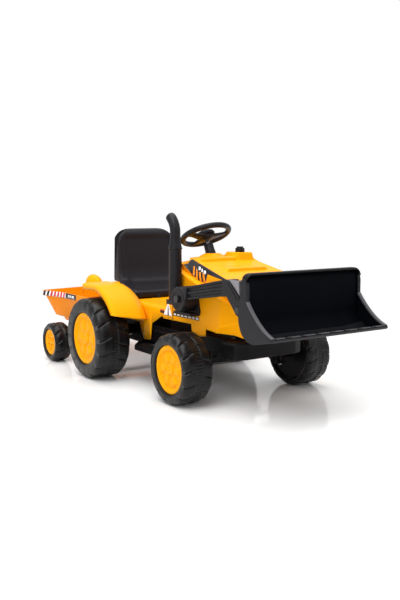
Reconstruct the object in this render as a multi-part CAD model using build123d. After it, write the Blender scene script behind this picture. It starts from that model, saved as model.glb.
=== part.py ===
"""Ride-on digger: a battery tractor with a front loader and a towed trailer.

Units are millimetres. +X is the direction of travel, +Y is the driver's left and +Z is up.
The model is laid out from the rear axle (X = 0, floor at Z = 0); save() then shifts every
piece along X so that the origin is on the floor at the middle of the overall length.
"""

import os
from math import cos, radians, sin

from build123d import *

# ---------------------------------------------------------------- driving dimensions
WHEELBASE = 462.0
TRAILER_AXLE_X = -327.0
REAR_WHEEL_R, FRONT_WHEEL_R, TRAILER_WHEEL_R = 135.0, 105.0, 72.0
REAR_IN, REAR_OUT = 215.0, 325.0            # |Y| of the wheel faces
FRONT_IN, FRONT_OUT = 180.0, 275.0
TRAILER_IN, TRAILER_OUT = 248.0, 314.0
REAR_CAP_R, FRONT_CAP_R, TRAILER_CAP_R = 84.0, 69.0, 46.0
AXLE_R = 6.0
RUNNING = 0.05                              # radial clearance of a running fit
GAP = 0.5                                   # clearance between parts that must not touch
WALL = 4.0                                  # moulded wall

BODY_HALF = 150.0                           # half width of the lower body
PAN_HALF = 140.0                            # half width of the chassis pan
PAN_FLOOR, PAN_TOP = 114.0, 186.0
PAN_REAR, PAN_FRONT = -130.0, 345.0
BODY_REAR, BODY_NOSE = -150.0, 660.0
BUMPER_REAR, BUMPER_FRONT = 540.0, 600.0
TUNNEL_TOP = 256.0
DECK_TOP = 305.0
DASH_X = 285.0
FENDER_HALF = 280.0
FENDER_CENTRE = (-40.0, 104.0)
FENDER_R_OUT, FENDER_R_SEAT = 216.0, 192.0   # outside radius over the tyre and beside the seat
FENDER_SKIN = 12.0
FENDER_FLAT_TOP = 313.0
FENDER_REAR = -124.0
FENDER_END_OUT, FENDER_END_IN = 224.0, 200.0   # height of the front edge at its outer and inner end

STEER_TILT = radians(26.0)                  # column axis, leaning back from vertical
STEER_CENTRE = (256.0, 484.0)               # X, Z of the steering wheel's centre
STEER_WHEEL_R, STEER_RIM_R = 77.0, 8.5
KINGPIN_Y = 150.0
TRACK_ARM = 45.0                            # knuckle arm length, to the rear
CRANK_R = 29.75                             # steering crank radius

PIVOT = (407.0, 301.0)                      # X, Z of the loader pivot
BUCKET_PIVOT = (700.0, 300.0)
ARM_IN, ARM_OUT = 160.0, 200.0
BUCKET_HALF = 209.0
BUCKET_LIP_X = 855.0

HITCH_X = -172.0
TUB_REAR = -546.0
TUB_RIM, TUB_BAND, TUB_FLOOR, TUB_SUMP = 250.0, 228.0, 150.0, 137.0
TUB_TAPER = 26.0                            # inward run of each side from rim to floor

ORIGIN_SHIFT = -(TUB_REAR + BUCKET_LIP_X) / 2   # centres the overall length on X = 0


# ---------------------------------------------------------------- helpers
def block(x0, x1, y0, y1, z0, z1):
    """A box from its six faces."""
    return Pos((x0 + x1) / 2, (y0 + y1) / 2, (z0 + z1) / 2) * Box(x1 - x0, y1 - y0, z1 - z0)


def rod(start, end, radius):
    """A cylinder between two points."""
    axis = Vector(*end) - Vector(*start)
    place = Plane(origin=start, z_dir=axis)
    return place * Pos(0, 0, axis.length / 2) * Cylinder(radius, axis.length)


def cone(start, end, radius_start, radius_end):
    """A truncated cone between two points."""
    axis = Vector(*end) - Vector(*start)
    place = Plane(origin=start, z_dir=axis)
    return place * Pos(0, 0, axis.length / 2) * Cone(radius_start, radius_end, axis.length)


def side_prism(points, y0, y1):
    """An (X, Z) outline extruded from y0 to y1."""
    face = make_face(Polyline(*[(x, y1, z) for x, z in points], close=True))
    return extrude(face, amount=y1 - y0, dir=(0, -1, 0))


def plan_prism(points, z0, z1):
    """An (X, Y) outline extruded from z0 to z1."""
    face = make_face(Polyline(*[(x, y, z0) for x, y in points], close=True))
    return extrude(face, amount=z1 - z0, dir=(0, 0, 1))


def front_prism(points, x0, x1):
    """A (Y, Z) outline extruded from x0 to x1."""
    face = make_face(Polyline(*[(x0, y, z) for y, z in points], close=True))
    return extrude(face, amount=x1 - x0, dir=(1, 0, 0))


def mirrored(shape):
    """The same piece on the other side of the vehicle."""
    return mirror(shape, about=Plane.XZ)


def pair(shape):
    return shape + mirrored(shape)


def symmetric(points):
    """A plan outline from its left half, listed from rear to front."""
    return list(points) + [(x, -y) for x, y in reversed(points)]


def save(name, shape):
    shape = Pos(ORIGIN_SHIFT, 0, 0) * shape
    export_step(shape, f"parts/{name}.step")


# ---------------------------------------------------------------- steering geometry
AXIS = (-sin(STEER_TILT), cos(STEER_TILT))      # X, Z of the column's upward direction


def on_column(t, offset=0.0, y=0.0):
    """A point t below the wheel's centre along the column, offset forward and up from it."""
    x = STEER_CENTRE[0] - t * AXIS[0] + offset * AXIS[1]
    z = STEER_CENTRE[1] - t * AXIS[1] - offset * AXIS[0]
    return (x, y, z)


# ---------------------------------------------------------------- wheels
def wheel(radius, inner, outer, cap_r, x, bore=AXLE_R + RUNNING):
    """Blow-moulded wheel: tread, side walls and hub tube; open where the hub cap snaps in."""
    shoulder, wall = 15.0, 5.0
    hub_r, hub_end = 17.0, outer - 20.0
    skin = [
        (bore, inner + 8), (radius - 24, inner + 8), (radius - 18, inner), (radius - 10, inner),
        (radius, inner + shoulder), (radius, outer - shoulder), (radius - 10, outer),
        (cap_r + 3, outer), (cap_r + 3, outer - wall), (radius - 12, outer - wall),
        (radius - 6, outer - shoulder - 3), (radius - 6, inner + shoulder + 5),
        (radius - 21, inner + 14), (hub_r, inner + 14), (hub_r, hub_end), (bore, hub_end),
    ]
    face = make_face(Polyline(*skin, close=True))
    return Pos(x, 0, radius) * revolve(face, Axis.Y)


def hub_cap(outer, cap_r, x, z):
    """Dished cap with a raised bead and a centre boss."""
    r = cap_r + 2.7
    skin = [
        (0, outer - 6), (20, outer - 6), (25, outer - 12), (cap_r - 14, outer - 12),
        (cap_r - 8, outer - 3), (cap_r - 3, outer), (r, outer - 1), (r, outer - 8),
        (cap_r - 2, outer - 8), (cap_r - 8, outer - 15.5), (0, outer - 15.5),
    ]
    face = make_face(Polyline(*skin, close=True))
    return Pos(x, 0, z) * revolve(face, Axis.Y)


def wheels():
    sets = [
        ("rear", REAR_WHEEL_R, REAR_IN, REAR_OUT, REAR_CAP_R, 0.0),
        ("front", FRONT_WHEEL_R, FRONT_IN, FRONT_OUT, FRONT_CAP_R, WHEELBASE),
        ("trailer", TRAILER_WHEEL_R, TRAILER_IN, TRAILER_OUT, TRAILER_CAP_R, TRAILER_AXLE_X),
    ]
    for name, radius, inner, outer, cap_r, x in sets:
        body = wheel(radius, inner, outer, cap_r, x)
        cap = hub_cap(outer, cap_r, x, radius)
        save(f"{name}_wheel_left", body)
        save(f"{name}_wheel_right", mirrored(body))
        save(f"{name}_hubcap_left", cap)
        save(f"{name}_hubcap_right", mirrored(cap))


# ---------------------------------------------------------------- chassis
def chassis_pan():
    """Open tray between the axles, with the rear axle holes and outside stiffening ribs."""
    tray = block(PAN_REAR, PAN_FRONT, -PAN_HALF, PAN_HALF, PAN_FLOOR, PAN_TOP)
    tray -= block(PAN_REAR + WALL, PAN_FRONT - WALL, -PAN_HALF + WALL, PAN_HALF - WALL,
                  PAN_FLOOR + WALL, PAN_TOP + 1)
    rib_bottom, rib_depth = PAN_TOP - 22, 5.0
    tray += pair(block(165, PAN_FRONT, PAN_HALF, PAN_HALF + rib_depth, rib_bottom, rib_bottom + 8))
    axle = rod((0, -PAN_HALF - 10, REAR_WHEEL_R), (0, PAN_HALF + 10, REAR_WHEEL_R), AXLE_R + RUNNING)
    return tray - axle


def rear_axle():
    end = REAR_OUT - 18
    return rod((0, -end, REAR_WHEEL_R), (0, end, REAR_WHEEL_R), AXLE_R)


def rear_axle_nuts():
    """Lock nuts outside the wheel hubs, under the hub caps."""
    y0, y1 = REAR_OUT - 19.5, REAR_OUT - 16.5
    nut = rod((0, y0, REAR_WHEEL_R), (0, y1, REAR_WHEEL_R), 11.0)
    nut -= rod((0, y0 - 1, REAR_WHEEL_R), (0, y1 + 1, REAR_WHEEL_R), AXLE_R)
    return pair(nut)


def gearmotor():
    """Left gearbox with its motor; the axle runs through it."""
    case = block(-45, 45, 186, 210, 100, 176)
    case = fillet(case.edges().filter_by(Axis.Y), 12)
    motor = rod((24, PAN_HALF, 158), (24, 186, 158), 17)
    axle = rod((0, 140, REAR_WHEEL_R), (0, 212, REAR_WHEEL_R), AXLE_R + 0.2)
    return case + motor - axle


def front_subframe():
    """Two rails that carry the front axle beam, the steering support and the bumper."""
    rear, front, low, high = PAN_FRONT, BUMPER_REAR, 140.0, 186.0
    rails = pair(block(rear, front, 80, 110, low, high) - block(rear + 7, front - 10, 84, 106, low - 1, high - 4))
    plates = block(rear, rear + 7, -80, 80, low, high) + block(front - 10, front, -80, 80, low, high)
    return rails + plates


def front_axle_beam():
    """Cross beam with a yoke at each end for the steering knuckles."""
    x0, x1 = WHEELBASE - 12, WHEELBASE + 12
    beam = block(x0, x1, -128, 128, 112, 127) + pair(block(x0, x1, 82, 108, 127, 140))
    yoke = block(x0, x1, 122, KINGPIN_Y + 12, 127, 133) + block(x0, x1, 122, KINGPIN_Y + 12, 77, 83)
    yoke += block(x0, x1, 122, 128, 77, 133)
    yoke -= rod((WHEELBASE, KINGPIN_Y, 70), (WHEELBASE, KINGPIN_Y, 140), 5 + RUNNING)
    return beam + pair(yoke)


def kingpins():
    """Bolts that the knuckles turn on."""
    shank = rod((WHEELBASE, KINGPIN_Y, 71), (WHEELBASE, KINGPIN_Y, 133), 5)
    head = rod((WHEELBASE, KINGPIN_Y, 133.2), (WHEELBASE, KINGPIN_Y, 139), 9)
    neck = rod((WHEELBASE, KINGPIN_Y, 133), (WHEELBASE, KINGPIN_Y, 133.2), 5)
    return pair(shank + neck + head)


def knuckle():
    """Left steering knuckle: kingpin block, stub axle and rearward track arm."""
    x, y = WHEELBASE, KINGPIN_Y
    body = rod((x, y, 84), (x, y, 126), 12)
    stub = rod((x, y + 8, FRONT_WHEEL_R), (x, FRONT_OUT - 19, FRONT_WHEEL_R), AXLE_R)
    collar = rod((x, y + 8, FRONT_WHEEL_R), (x, FRONT_IN + 7, FRONT_WHEEL_R), 10)
    arm = block(x - TRACK_ARM, x, y - 9, y + 9, 84, 90) + rod((x - TRACK_ARM, y, 84), (x - TRACK_ARM, y, 90), 9)
    bores = rod((x, y, 70), (x, y, 140), 5 + RUNNING)
    bores += rod((x - TRACK_ARM, y, 80), (x - TRACK_ARM, y, 95), 4 + RUNNING)
    return body + stub + collar + arm - bores


def tie_rod():
    """Track rod: bar above the knuckle arms, a pin at each end and a slot for the crank pin."""
    x = WHEELBASE - TRACK_ARM
    bar = block(x - 6, x + 6, -KINGPIN_Y, KINGPIN_Y, 91, 97)
    eye = rod((x, KINGPIN_Y, 91), (x, KINGPIN_Y, 97), 9) + rod((x, KINGPIN_Y, 80), (x, KINGPIN_Y, 91), 4)
    plate = block(x - 15, x + 11, -16, 16, 91, 97)
    slot = block(x - 10, x + 6, -3.6, 3.6, 90, 98)
    return bar + pair(eye) + plate - slot


def front_bumper():
    """Moulded bumper with faceted corners and pressed panels, bolted to the ends of the rails."""
    rear, front = BUMPER_REAR, BUMPER_FRONT
    outer = symmetric([(rear, 137), (front - 12, 122), (front, 92)])
    inner = symmetric([(rear - 4, 133), (front - 15, 118.5), (front - 4, 90)])
    bumper = plan_prism(outer, 137, 185) - plan_prism(inner, 132, 181)
    for y in (-85, -27, 31):
        bumper -= block(front - 2.5, front + 1, y, y + 54, 146, 176)
    return bumper + block(rear, rear + 4, -112, 112, 137, 185)


# ---------------------------------------------------------------- lower body
BODY_TOP_LINE = [
    (BODY_REAR, 190), (BODY_REAR, DECK_TOP), (-112, DECK_TOP), (-20, TUNNEL_TOP), (DASH_X, TUNNEL_TOP),
    (DASH_X, 390), (410, 351), (560, 305), (655, 262), (BODY_NOSE, 250),
]
BODY_SKIRT = [
    (606, 199), (579, 209), (522, 212), (474, 214), (472, 193), (446, 189), (401, 199), (398, 221), (234, 218),
    (227, 226), (158, 192), (148, 136), (106, 131), (76, 187),
]


def body_plan(inset=0.0):
    """Plan outline of the lower body, tapering to the nose."""
    half = BODY_HALF - inset
    return symmetric([(BODY_REAR + inset, half), (545, half), (BODY_NOSE + 2 - inset, 104 - inset)])


def chin_cut(inset=0.0):
    """What the slanting lower front corners take off the body, on both sides."""
    outward = Vector(2590, 4660, -2280).normalized()
    place = Plane(origin=Vector(530, BODY_HALF, 212) - outward * inset, z_dir=outward)
    return pair(place * Pos(0, 0, 100) * Box(400, 400, 200))


def body_core():
    outside = side_prism(BODY_TOP_LINE + BODY_SKIRT, -BODY_HALF, BODY_HALF)
    outside &= plan_prism(body_plan(), 100, 400)
    outside -= chin_cut()
    hollow_line = [
        (BODY_REAR + WALL, 60), (BODY_REAR + WALL, DECK_TOP - WALL), (-113, DECK_TOP - WALL),
        (-21, TUNNEL_TOP - WALL), (DASH_X + WALL, TUNNEL_TOP - WALL), (DASH_X + WALL, 384.5),
        (410, 346.8), (560, 300.7), (651.5, 259), (655.5, 251), (602, 200.5), (602, 60),
    ]
    hollow = side_prism(hollow_line, -BODY_HALF + WALL, BODY_HALF - WALL)
    hollow &= plan_prism(body_plan(WALL), 50, 400)
    hollow -= chin_cut(WALL)
    return outside - hollow


def fender():
    """Left mudguard over the inner half of the rear tyre, with a rounded hump at its tail."""
    cx, cz = FENDER_CENTRE
    y0, y1 = BODY_HALF, FENDER_HALF
    crest, skin = 185.0, FENDER_SKIN
    section = [
        (FENDER_R_SEAT - skin, y0), (FENDER_R_SEAT, y0), (FENDER_R_OUT, crest), (FENDER_R_OUT, y1),
        (FENDER_R_OUT - skin, y1), (FENDER_R_OUT - skin, crest + 4),
    ]
    ring = Pos(cx, 0, cz) * revolve(make_face(Polyline(*section, close=True)), Axis.Y)
    ring &= plan_prism([(FENDER_REAR, y0), (FENDER_REAR, 245), (-90, y1), (300, y1), (300, y0)], 100, FENDER_FLAT_TOP)
    ring -= front_prism([(y0 - 1, FENDER_END_IN), (y0 - 1, 50), (y1 + 1, 50), (y1 + 1, FENDER_END_OUT)], cx, 300)
    ring -= block(cx - 300, cx, y0 - 1, y1 + 1, 50, cz)
    hump = rod((-146, 190, 312), (-146, 235, 312), 24) & block(-175, -117, 188, 237, 288, 340)
    hump += block(-150, FENDER_REAR + 4, y0, 235, 296, 308)
    return ring + hump - rod((cx, crest + 4, cz), (cx, y1 + 1, cz), FENDER_R_OUT - skin)


def mounting_post(x, top):
    """Left post from the shell down onto the edge of the chassis pan."""
    return block(x - 8, x + 8, 130, BODY_HALF - WALL, PAN_TOP, top)


def body_shell():
    shell = body_core() + pair(fender())
    for x, top in ((-110, 301), (60, TUNNEL_TOP - WALL), (262, TUNNEL_TOP - WALL)):
        shell += pair(mounting_post(x, top))
    clear = rod(on_column(60), on_column(420), 22)
    latch_slot = block(16, 30, -9, 9, TUNNEL_TOP - 10, TUNNEL_TOP + 1)
    return shell - clear - latch_slot


# ---------------------------------------------------------------- hood and its fittings
HOOD_REAR = 264.0                           # rear end of the hood round the steering column


def hood_solid(inset=0.0):
    """Hood as the common volume of a side outline, a front outline and a plan outline."""
    low = inset * 3
    side = [
        (HOOD_REAR + inset, 397 - low), (HOOD_REAR + inset, 406 - inset), (282, 415 - inset), (335, 416.5 - inset),
        (504, 378 - inset), (600, 357 - inset), (650, 334 - inset), (672 - inset, 268),
        (655, 262 - low), (560, 305 - low), (410, 351 - low), (DASH_X, 390 - low),
    ]
    front = [(-130 + inset, 255 - low), (-128 + inset, 365), (-105 + inset, 418 - inset),
             (105 - inset, 418 - inset), (128 - inset, 365), (130 - inset, 255 - low)]
    rear = [(HOOD_REAR + inset, 34), (321 + inset, 104 - inset), (324 + inset, 130 - inset)]
    plan = symmetric(rear + [(560, 130 - inset), (674, 92 - inset)])
    return side_prism(side, -130, 130) & front_prism(front, 250, 700) & plan_prism(plan, 240, 430)


def hood():
    """Thin hood shell with a filler boss, two steps across the top and the steering column hole."""
    shell = hood_solid() - hood_solid(3.5)
    boss = rod((349, 70, 400), (349, 70, 430), 30) + block(310, 349, 40, 100, 400, 430)
    shell += boss - block(290, 400, 30, 110, 380, 408.5)
    for x in (392, 470):
        z = 416.5 - (x - 335) * 0.228
        shell -= block(x, x + 7, -80, 80, z - 1.8, z + 6)
    return shell - rod(on_column(20), on_column(200), 17.5)


NOSE_LOW, NOSE_HIGH = (672.0, 268.0), (650.0, 334.0)   # X, Z of the hood's sloping nose face


def on_nose(up, out):
    """X, Z of a point up the nose face and standing off it."""
    rise = Vector(NOSE_HIGH[0] - NOSE_LOW[0], NOSE_HIGH[1] - NOSE_LOW[1]).normalized()
    return (NOSE_LOW[0] + up * rise.X + out * rise.Y, NOSE_LOW[1] + up * rise.Y - out * rise.X)


def grille():
    """Slatted panel on the nose."""
    panel = side_prism([on_nose(3, 0), on_nose(3, 4), on_nose(50, 4), on_nose(50, 0)], -60, 60)
    for up in (10, 20, 30, 40):
        panel -= side_prism([on_nose(up, 2), on_nose(up, 6), on_nose(up + 4, 6), on_nose(up + 4, 2)], -54, 54)
    return panel


def headlights():
    (x0, z0), (x1, z1) = on_nose(27, 0), on_nose(27, 7)
    return pair(rod((x0, 76, z0), (x1, 76, z1), 12))


def filler_cap():
    cap = rod((349, 70, 430), (349, 70, 443), 15)
    return cap + rod((349, 70, 443), (349, 70, 448), 11)


def column_boot():
    """Fixed collar round the column where it leaves the hood."""
    boot = cone(on_column(88), on_column(30), 17.5, 15)
    return boot - rod(on_column(95), on_column(20), AXLE_R + RUNNING)


# ---------------------------------------------------------------- dash
def dash_panel():
    """Switch plate on the rider's side of the dash, with openings for its two switches."""
    plate = block(277, DASH_X, -62, 62, 292, 352)
    plate -= block(270, 290, 22, 38, 309, 341)
    return plate - rod((270, -30, 325), (290, -30, 325), 8 + RUNNING)


def direction_switch():
    """Rocker for forward and reverse, on a cross pin at X = 277."""
    rocker = side_prism([(270, 313), (281, 313), (281, 337), (270, 337), (273, 325)], 23, 37)
    return rocker


def power_button():
    return rod((271, -30, 325), (282.5, -30, 325), 8)


# ---------------------------------------------------------------- steering
def steering_wheel():
    """Rim, three spokes and hub, built flat and then tilted onto the column."""
    rim = Torus(STEER_WHEEL_R, STEER_RIM_R)
    hub = Pos(0, 0, -10) * Cylinder(24, 16)
    spoke = Pos(STEER_WHEEL_R / 2 + 6, 0, -6) * Box(STEER_WHEEL_R - 16, 20, 7)
    spokes = [Rot(0, 0, angle) * spoke for angle in (0, 98, 262)]
    flat = rim + hub + spokes
    flat -= Pos(0, 0, -12) * Cylinder(AXLE_R, 14)
    return column_plane() * flat


def column_plane():
    """Plane across the column at the wheel's centre; its X axis points at the rider."""
    return Plane(origin=on_column(0), x_dir=(-AXIS[1], 0, AXIS[0]), z_dir=(AXIS[0], 0, AXIS[1]))


def steering_pad():
    """Centre pad with a pocket for the horn button."""
    pad = Pos(0, 0, 4) * Cylinder(27, 11) - Pos(0, 0, 7) * Cylinder(15.3, 6)
    return column_plane() * pad


def horn_button():
    return column_plane() * Pos(0, 0, 9.5) * Cylinder(15, 5)


def steering_column():
    """Bent steel rod: shaft, rearward crank and the pin that drives the tie rod."""
    bottom = 404.0
    shaft = rod(on_column(6), on_column(bottom), AXLE_R)
    crank = rod(on_column(bottom), on_column(bottom, -CRANK_R), 5)
    pin = rod(on_column(bottom - 4, -CRANK_R), on_column(bottom + 24, -CRANK_R), 3)
    return shaft + Pos(*on_column(bottom)) * Sphere(AXLE_R) + crank + pin


def steering_support():
    """Cross block between the subframe rails with the lower column bearing."""
    support = block(380, 428, -80, 80, 170, 186)
    return support - rod(on_column(250), on_column(400), AXLE_R + RUNNING)


# ---------------------------------------------------------------- exhaust
EXHAUST_X, EXHAUST_Y = 345.0, -173.0


def exhaust_silencer():
    """Lower stack: slightly tapered can with a flanged top."""
    x, y = EXHAUST_X, EXHAUST_Y
    can = cone((x, y, 292), (x, y, 444), 20.5, 19) + rod((x, y, 444), (x, y, 449), 22)
    return can - rod((x, y, 300), (x, y, 450), 14)


def exhaust_pipe():
    """Upper stack: flared foot, straight riser and a bend to the rear."""
    x, y = EXHAUST_X, EXHAUST_Y
    top, bend, turn = 496.5, 55.0, radians(60)
    middle = (x - bend + bend * cos(turn / 2), y, top + bend * sin(turn / 2))
    end = (x - bend + bend * cos(turn), y, top + bend * sin(turn))
    path = Line((x, y, 452), (x, y, top)) + ThreePointArc((x, y, top), middle, end)
    section = Pos(x, y, 452) * (Circle(16) - Circle(12.5))
    foot = cone((x, y, 449), (x, y, 463), 21, 16) - rod((x, y, 449), (x, y, 464), 12.5)
    return sweep(section, path=path) + foot


# ---------------------------------------------------------------- loader
def arm_outline():
    """Side outline of an arm: beam from the pivot to the elbow, then a leg down to the bucket."""
    beam = [(644, 333), (407, 297), (407, 322), (430, 338), (650, 380)]
    leg = [(662, 374), (716, 326), (712, 285), (697, 284)]
    return beam + leg


ARM_INSIDE = [(452, 336), (646, 373), (660, 367), (708, 324), (706, 293), (700, 291), (647, 340), (452, 310)]


def loader_arm():
    """Left arm: box beam open on its inner side, with round bosses at the pivot and the bucket."""
    px, pz = PIVOT
    bx, bz = BUCKET_PIVOT
    arm = side_prism(arm_outline(), ARM_IN, ARM_OUT) - side_prism(ARM_INSIDE, ARM_IN - 1, ARM_OUT - 10)
    arm += rod((px, ARM_IN - 1.5, pz), (px, ARM_OUT + 6, pz), 38)
    arm -= rod((px, ARM_IN - 2, pz), (px, ARM_OUT - 4, pz), 33)
    arm += rod((px, ARM_IN - 1.5, pz), (px, ARM_OUT, pz), 13)
    arm += rod((bx, ARM_IN, bz), (bx, ARM_OUT, bz), 21)
    arm -= rod((bx, ARM_IN - 1, bz), (bx, ARM_OUT - 6, bz), 17)
    arm += rod((bx, ARM_IN, bz), (bx, ARM_OUT, bz), 10)
    recess = side_prism([(452, 334), (634, 369), (628, 340), (452, 309)], ARM_OUT - 4, ARM_OUT + 1)
    rib = side_prism([(448, 324), (636, 358), (636, 353), (448, 319)], ARM_OUT - 6, ARM_OUT - 1)
    bores = rod((px, 100, pz), (px, 260, pz), AXLE_R + RUNNING)
    bores += rod((bx, 100, bz), (bx, 260, bz), 5 + RUNNING)
    return arm - recess + rib - bores


def loader_cross_plate():
    """Sloping plate that ties the two arms together above the nose."""
    outline = [(650, 379.5), (661, 373.5), (714, 327), (711, 323.5), (658, 369), (649, 374)]
    return side_prism(outline, -ARM_IN, ARM_IN)


def loader_bracket():
    """Left pivot bracket on the body side, with a lower shelf."""
    outline = [(322, 267), (338, 251), (446, 251), (450, 264), (432, 334), (374, 334), (367, 291), (322, 291)]
    plate = side_prism(outline, BODY_HALF, BODY_HALF + 8)
    shelf = block(350, 442, BODY_HALF + 8, BODY_HALF + 34, 251, 259.5)
    bore = rod((PIVOT[0], 140, PIVOT[1]), (PIVOT[0], 170, PIVOT[1]), AXLE_R + RUNNING)
    return plate + shelf - bore


def loader_bracket_right():
    """Right bracket: as the left, plus the foot that carries the exhaust."""
    foot = block(324, 366, -194, -BODY_HALF - 8, 278, 292)
    return mirrored(loader_bracket()) + foot


def loader_pivot_bolts():
    px, pz = PIVOT
    shank = rod((px, BODY_HALF + 1, pz), (px, ARM_OUT + 6.5, pz), AXLE_R)
    return pair(shank + rod((px, ARM_OUT + 6.5, pz), (px, ARM_OUT + 12, pz), 11))


def bucket_pins():
    """Pins through the arm ends and the bucket's lugs."""
    bx, bz = BUCKET_PIVOT
    shank = rod((bx, 134, bz), (bx, ARM_OUT + 0.3, bz), 5)
    return pair(shank + rod((bx, ARM_OUT + 0.3, bz), (bx, ARM_OUT + 4, bz), 9))


def bucket():
    """Open scoop: flanged back wall, curved floor, cutting edge, end plates and pivot lugs."""
    lip = BUCKET_LIP_X
    outside = [(727, 402), (724, 330), (726, 262), (740, 236), (769, 220), (lip, 236), (lip, 242)]
    inside = [(769, 226), (744, 241), (731, 265), (729, 330), (732, 402)]
    half = BUCKET_HALF
    shell = side_prism(outside + inside, -half, half)
    end = [(724, 330), (726, 262), (740, 236), (769, 220), (lip, 236), (lip, 242), (832, 254), (806, 272),
           (780, 300), (748, 330)]
    shell += pair(side_prism(end, half - 5, half))
    flange = side_prism([(727, 402), (724, 330), (748, 330), (748, 394), (742, 402)], half - 5, half)
    shell += pair(flange) + side_prism([(728, 397), (746, 397), (742, 402), (728, 402)], -half, half)
    lug = rod((BUCKET_PIVOT[0], 138, 300), (BUCKET_PIVOT[0], 156, 300), 16) + block(700, 727, 138, 156, 284, 316)
    lug -= rod((BUCKET_PIVOT[0], 130, 300), (BUCKET_PIVOT[0], 160, 300), 5 + RUNNING)
    return shell + pair(lug)


# ---------------------------------------------------------------- rider's parts
def seat():
    """One-piece moulded seat, open underneath: pan, backrest and the front latch lug."""
    skin = [
        (-112, 305.5), (-168, 305.5), (-174, 470), (-168, 490), (-156, 497), (-142, 494), (-132, 480), (-116, 340),
        (-104, 312), (-20, 290), (12, 289), (23, 280), (23, 262), (14, TUNNEL_TOP + GAP), (-19.8, TUNNEL_TOP + GAP),
    ]
    inside = [
        (-112, 290), (-163, 290), (-169, 470), (-164, 486), (-156, 491.5), (-145, 489), (-137.5, 479), (-121.5, 338),
        (-108, 307), (-20.5, 285), (10, 284), (17.5, 278), (17.5, 250), (-24, 250),
    ]
    shell = side_prism(skin, -122, 122) - side_prism(inside, -117, 117)
    return shell + block(17.5, 24, -8, 8, TUNNEL_TOP - 9, 266)


def footrest():
    """Left step plate with anti-slip ribs and lugs for the pedal hinge."""
    outline = [(75, PAN_HALF), (77, 154), (138, 204), (300, 204), (310, 192), (310, PAN_HALF)]
    plate = plan_prism(outline, 106, 122)
    ribs = [block(x, x + 5, 150, 196, 122, 124) for x in (145, 160, 175, 190, 205)]
    return plate + ribs


def footrest_right():
    """Right step plate, with the lugs and pin of the accelerator pedal."""
    lugs = block(236, 250, -204, -200, 122, 138) + block(236, 250, -150, -146, 122, 138)
    pin = rod((243, -204, 131), (243, -146, 131), 3)
    return mirrored(footrest()) + lugs + pin


def accelerator_pedal():
    """Foot pedal, hinged at the heel."""
    pad = side_prism([(243, 127.5), (304, 145), (302.5, 151), (243, 134.5)], -198, -152)
    pad += rod((243, -198, 131), (243, -152, 131), 6)
    return pad - rod((243, -206, 131), (243, -144, 131), 3 + RUNNING)


# ---------------------------------------------------------------- electrics
def battery():
    case = block(22, 112, -46, 46, PAN_FLOOR + WALL, 200)
    return case + block(34, 44, -34, -24, 200, 206) + block(34, 44, 24, 34, 200, 206)


def control_box():
    return block(150, 230, -42, 42, PAN_FLOOR + WALL, 136)


def wiring_loom():
    """Bundled cable from the control box up to the dash."""
    corner = (262, 0, 150)
    loom = rod((190, 0, 136), (190, 0, 150), 4) + Pos(190, 0, 150) * Sphere(4)
    loom += rod((190, 0, 150), corner, 4) + Pos(*corner) * Sphere(4) + rod(corner, (262, 0, 246), 4)
    return loom


# ---------------------------------------------------------------- hitch and trailer
def hitch_bracket():
    """Clevis on the back of the chassis."""
    x1 = PAN_REAR
    clevis = block(-190, x1, -20, 20, 126, 131) + block(-190, x1, -20, 20, 97, 102)
    clevis += block(-142, x1, -20, 20, 97, 131)
    return clevis - rod((HITCH_X, 0, 90), (HITCH_X, 0, 140), 5 + RUNNING)


def hitch_pin():
    """Pull-out pin with a ring handle."""
    pin = rod((HITCH_X, 0, 90), (HITCH_X, 0, 136), 5) + rod((HITCH_X, 0, 131.2), (HITCH_X, 0, 136), 9)
    ring = Pos(HITCH_X, 0, 148) * Rot(90, 0, 0) * Torus(11, 2)
    return pin + ring


def trailer_frame():
    """Drawbar with its eye, a cross member and two axle hangers."""
    bar = block(-340, HITCH_X, -12, 12, 104, 124)
    bar += rod((HITCH_X, 0, 104), (HITCH_X, 0, 124), 14)
    cross = block(-345, -309, -160, 160, 116, TUB_SUMP)
    hangers = pair(block(-345, -309, 150, 160, 58, 118))
    holes = rod((HITCH_X, 0, 100), (HITCH_X, 0, 130), 5 + RUNNING)
    z = TRAILER_WHEEL_R
    holes += rod((TRAILER_AXLE_X, -170, z), (TRAILER_AXLE_X, 170, z), AXLE_R + RUNNING)
    return bar + cross + hangers - holes


def trailer_axle():
    z, end = TRAILER_WHEEL_R, TRAILER_OUT - 19
    return rod((TRAILER_AXLE_X, -end, z), (TRAILER_AXLE_X, end, z), AXLE_R)


def tub_ring(inset, z):
    """Plan outline of the tub at height z: bowed tail, flared rear corners, scooped front."""
    rear, half = TUB_REAR + inset, 228 - inset
    points = [
        (rear, 80 - inset / 3), (rear + 33, half + 36), (rear + 110, half + 12), (rear + 190, half),
        (-188 - inset, half), (-176 - inset, half - 10), (-200 - inset, 145 - inset), (-204 - inset, 100 - inset),
    ]
    return make_face(Polyline(*[(x, y, z) for x, y in symmetric(points)], close=True))


def trailer_tub():
    """Open tub: upright rim band, tapered sides and a shallow sump under the floor."""
    band = extrude(tub_ring(0, TUB_BAND), TUB_RIM - TUB_BAND, dir=(0, 0, 1))
    taper = loft([tub_ring(TUB_TAPER, TUB_FLOOR), tub_ring(5, TUB_BAND)])
    sump = block(-476, -262, -180, 180, TUB_SUMP, TUB_FLOOR)
    hollow = loft([tub_ring(TUB_TAPER + WALL, TUB_FLOOR + WALL), tub_ring(WALL, TUB_RIM + 1)])
    well = block(-472, -266, -176, 176, TUB_SUMP + WALL, TUB_FLOOR + WALL + 1)
    return band + taper + sump - hollow - well


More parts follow.
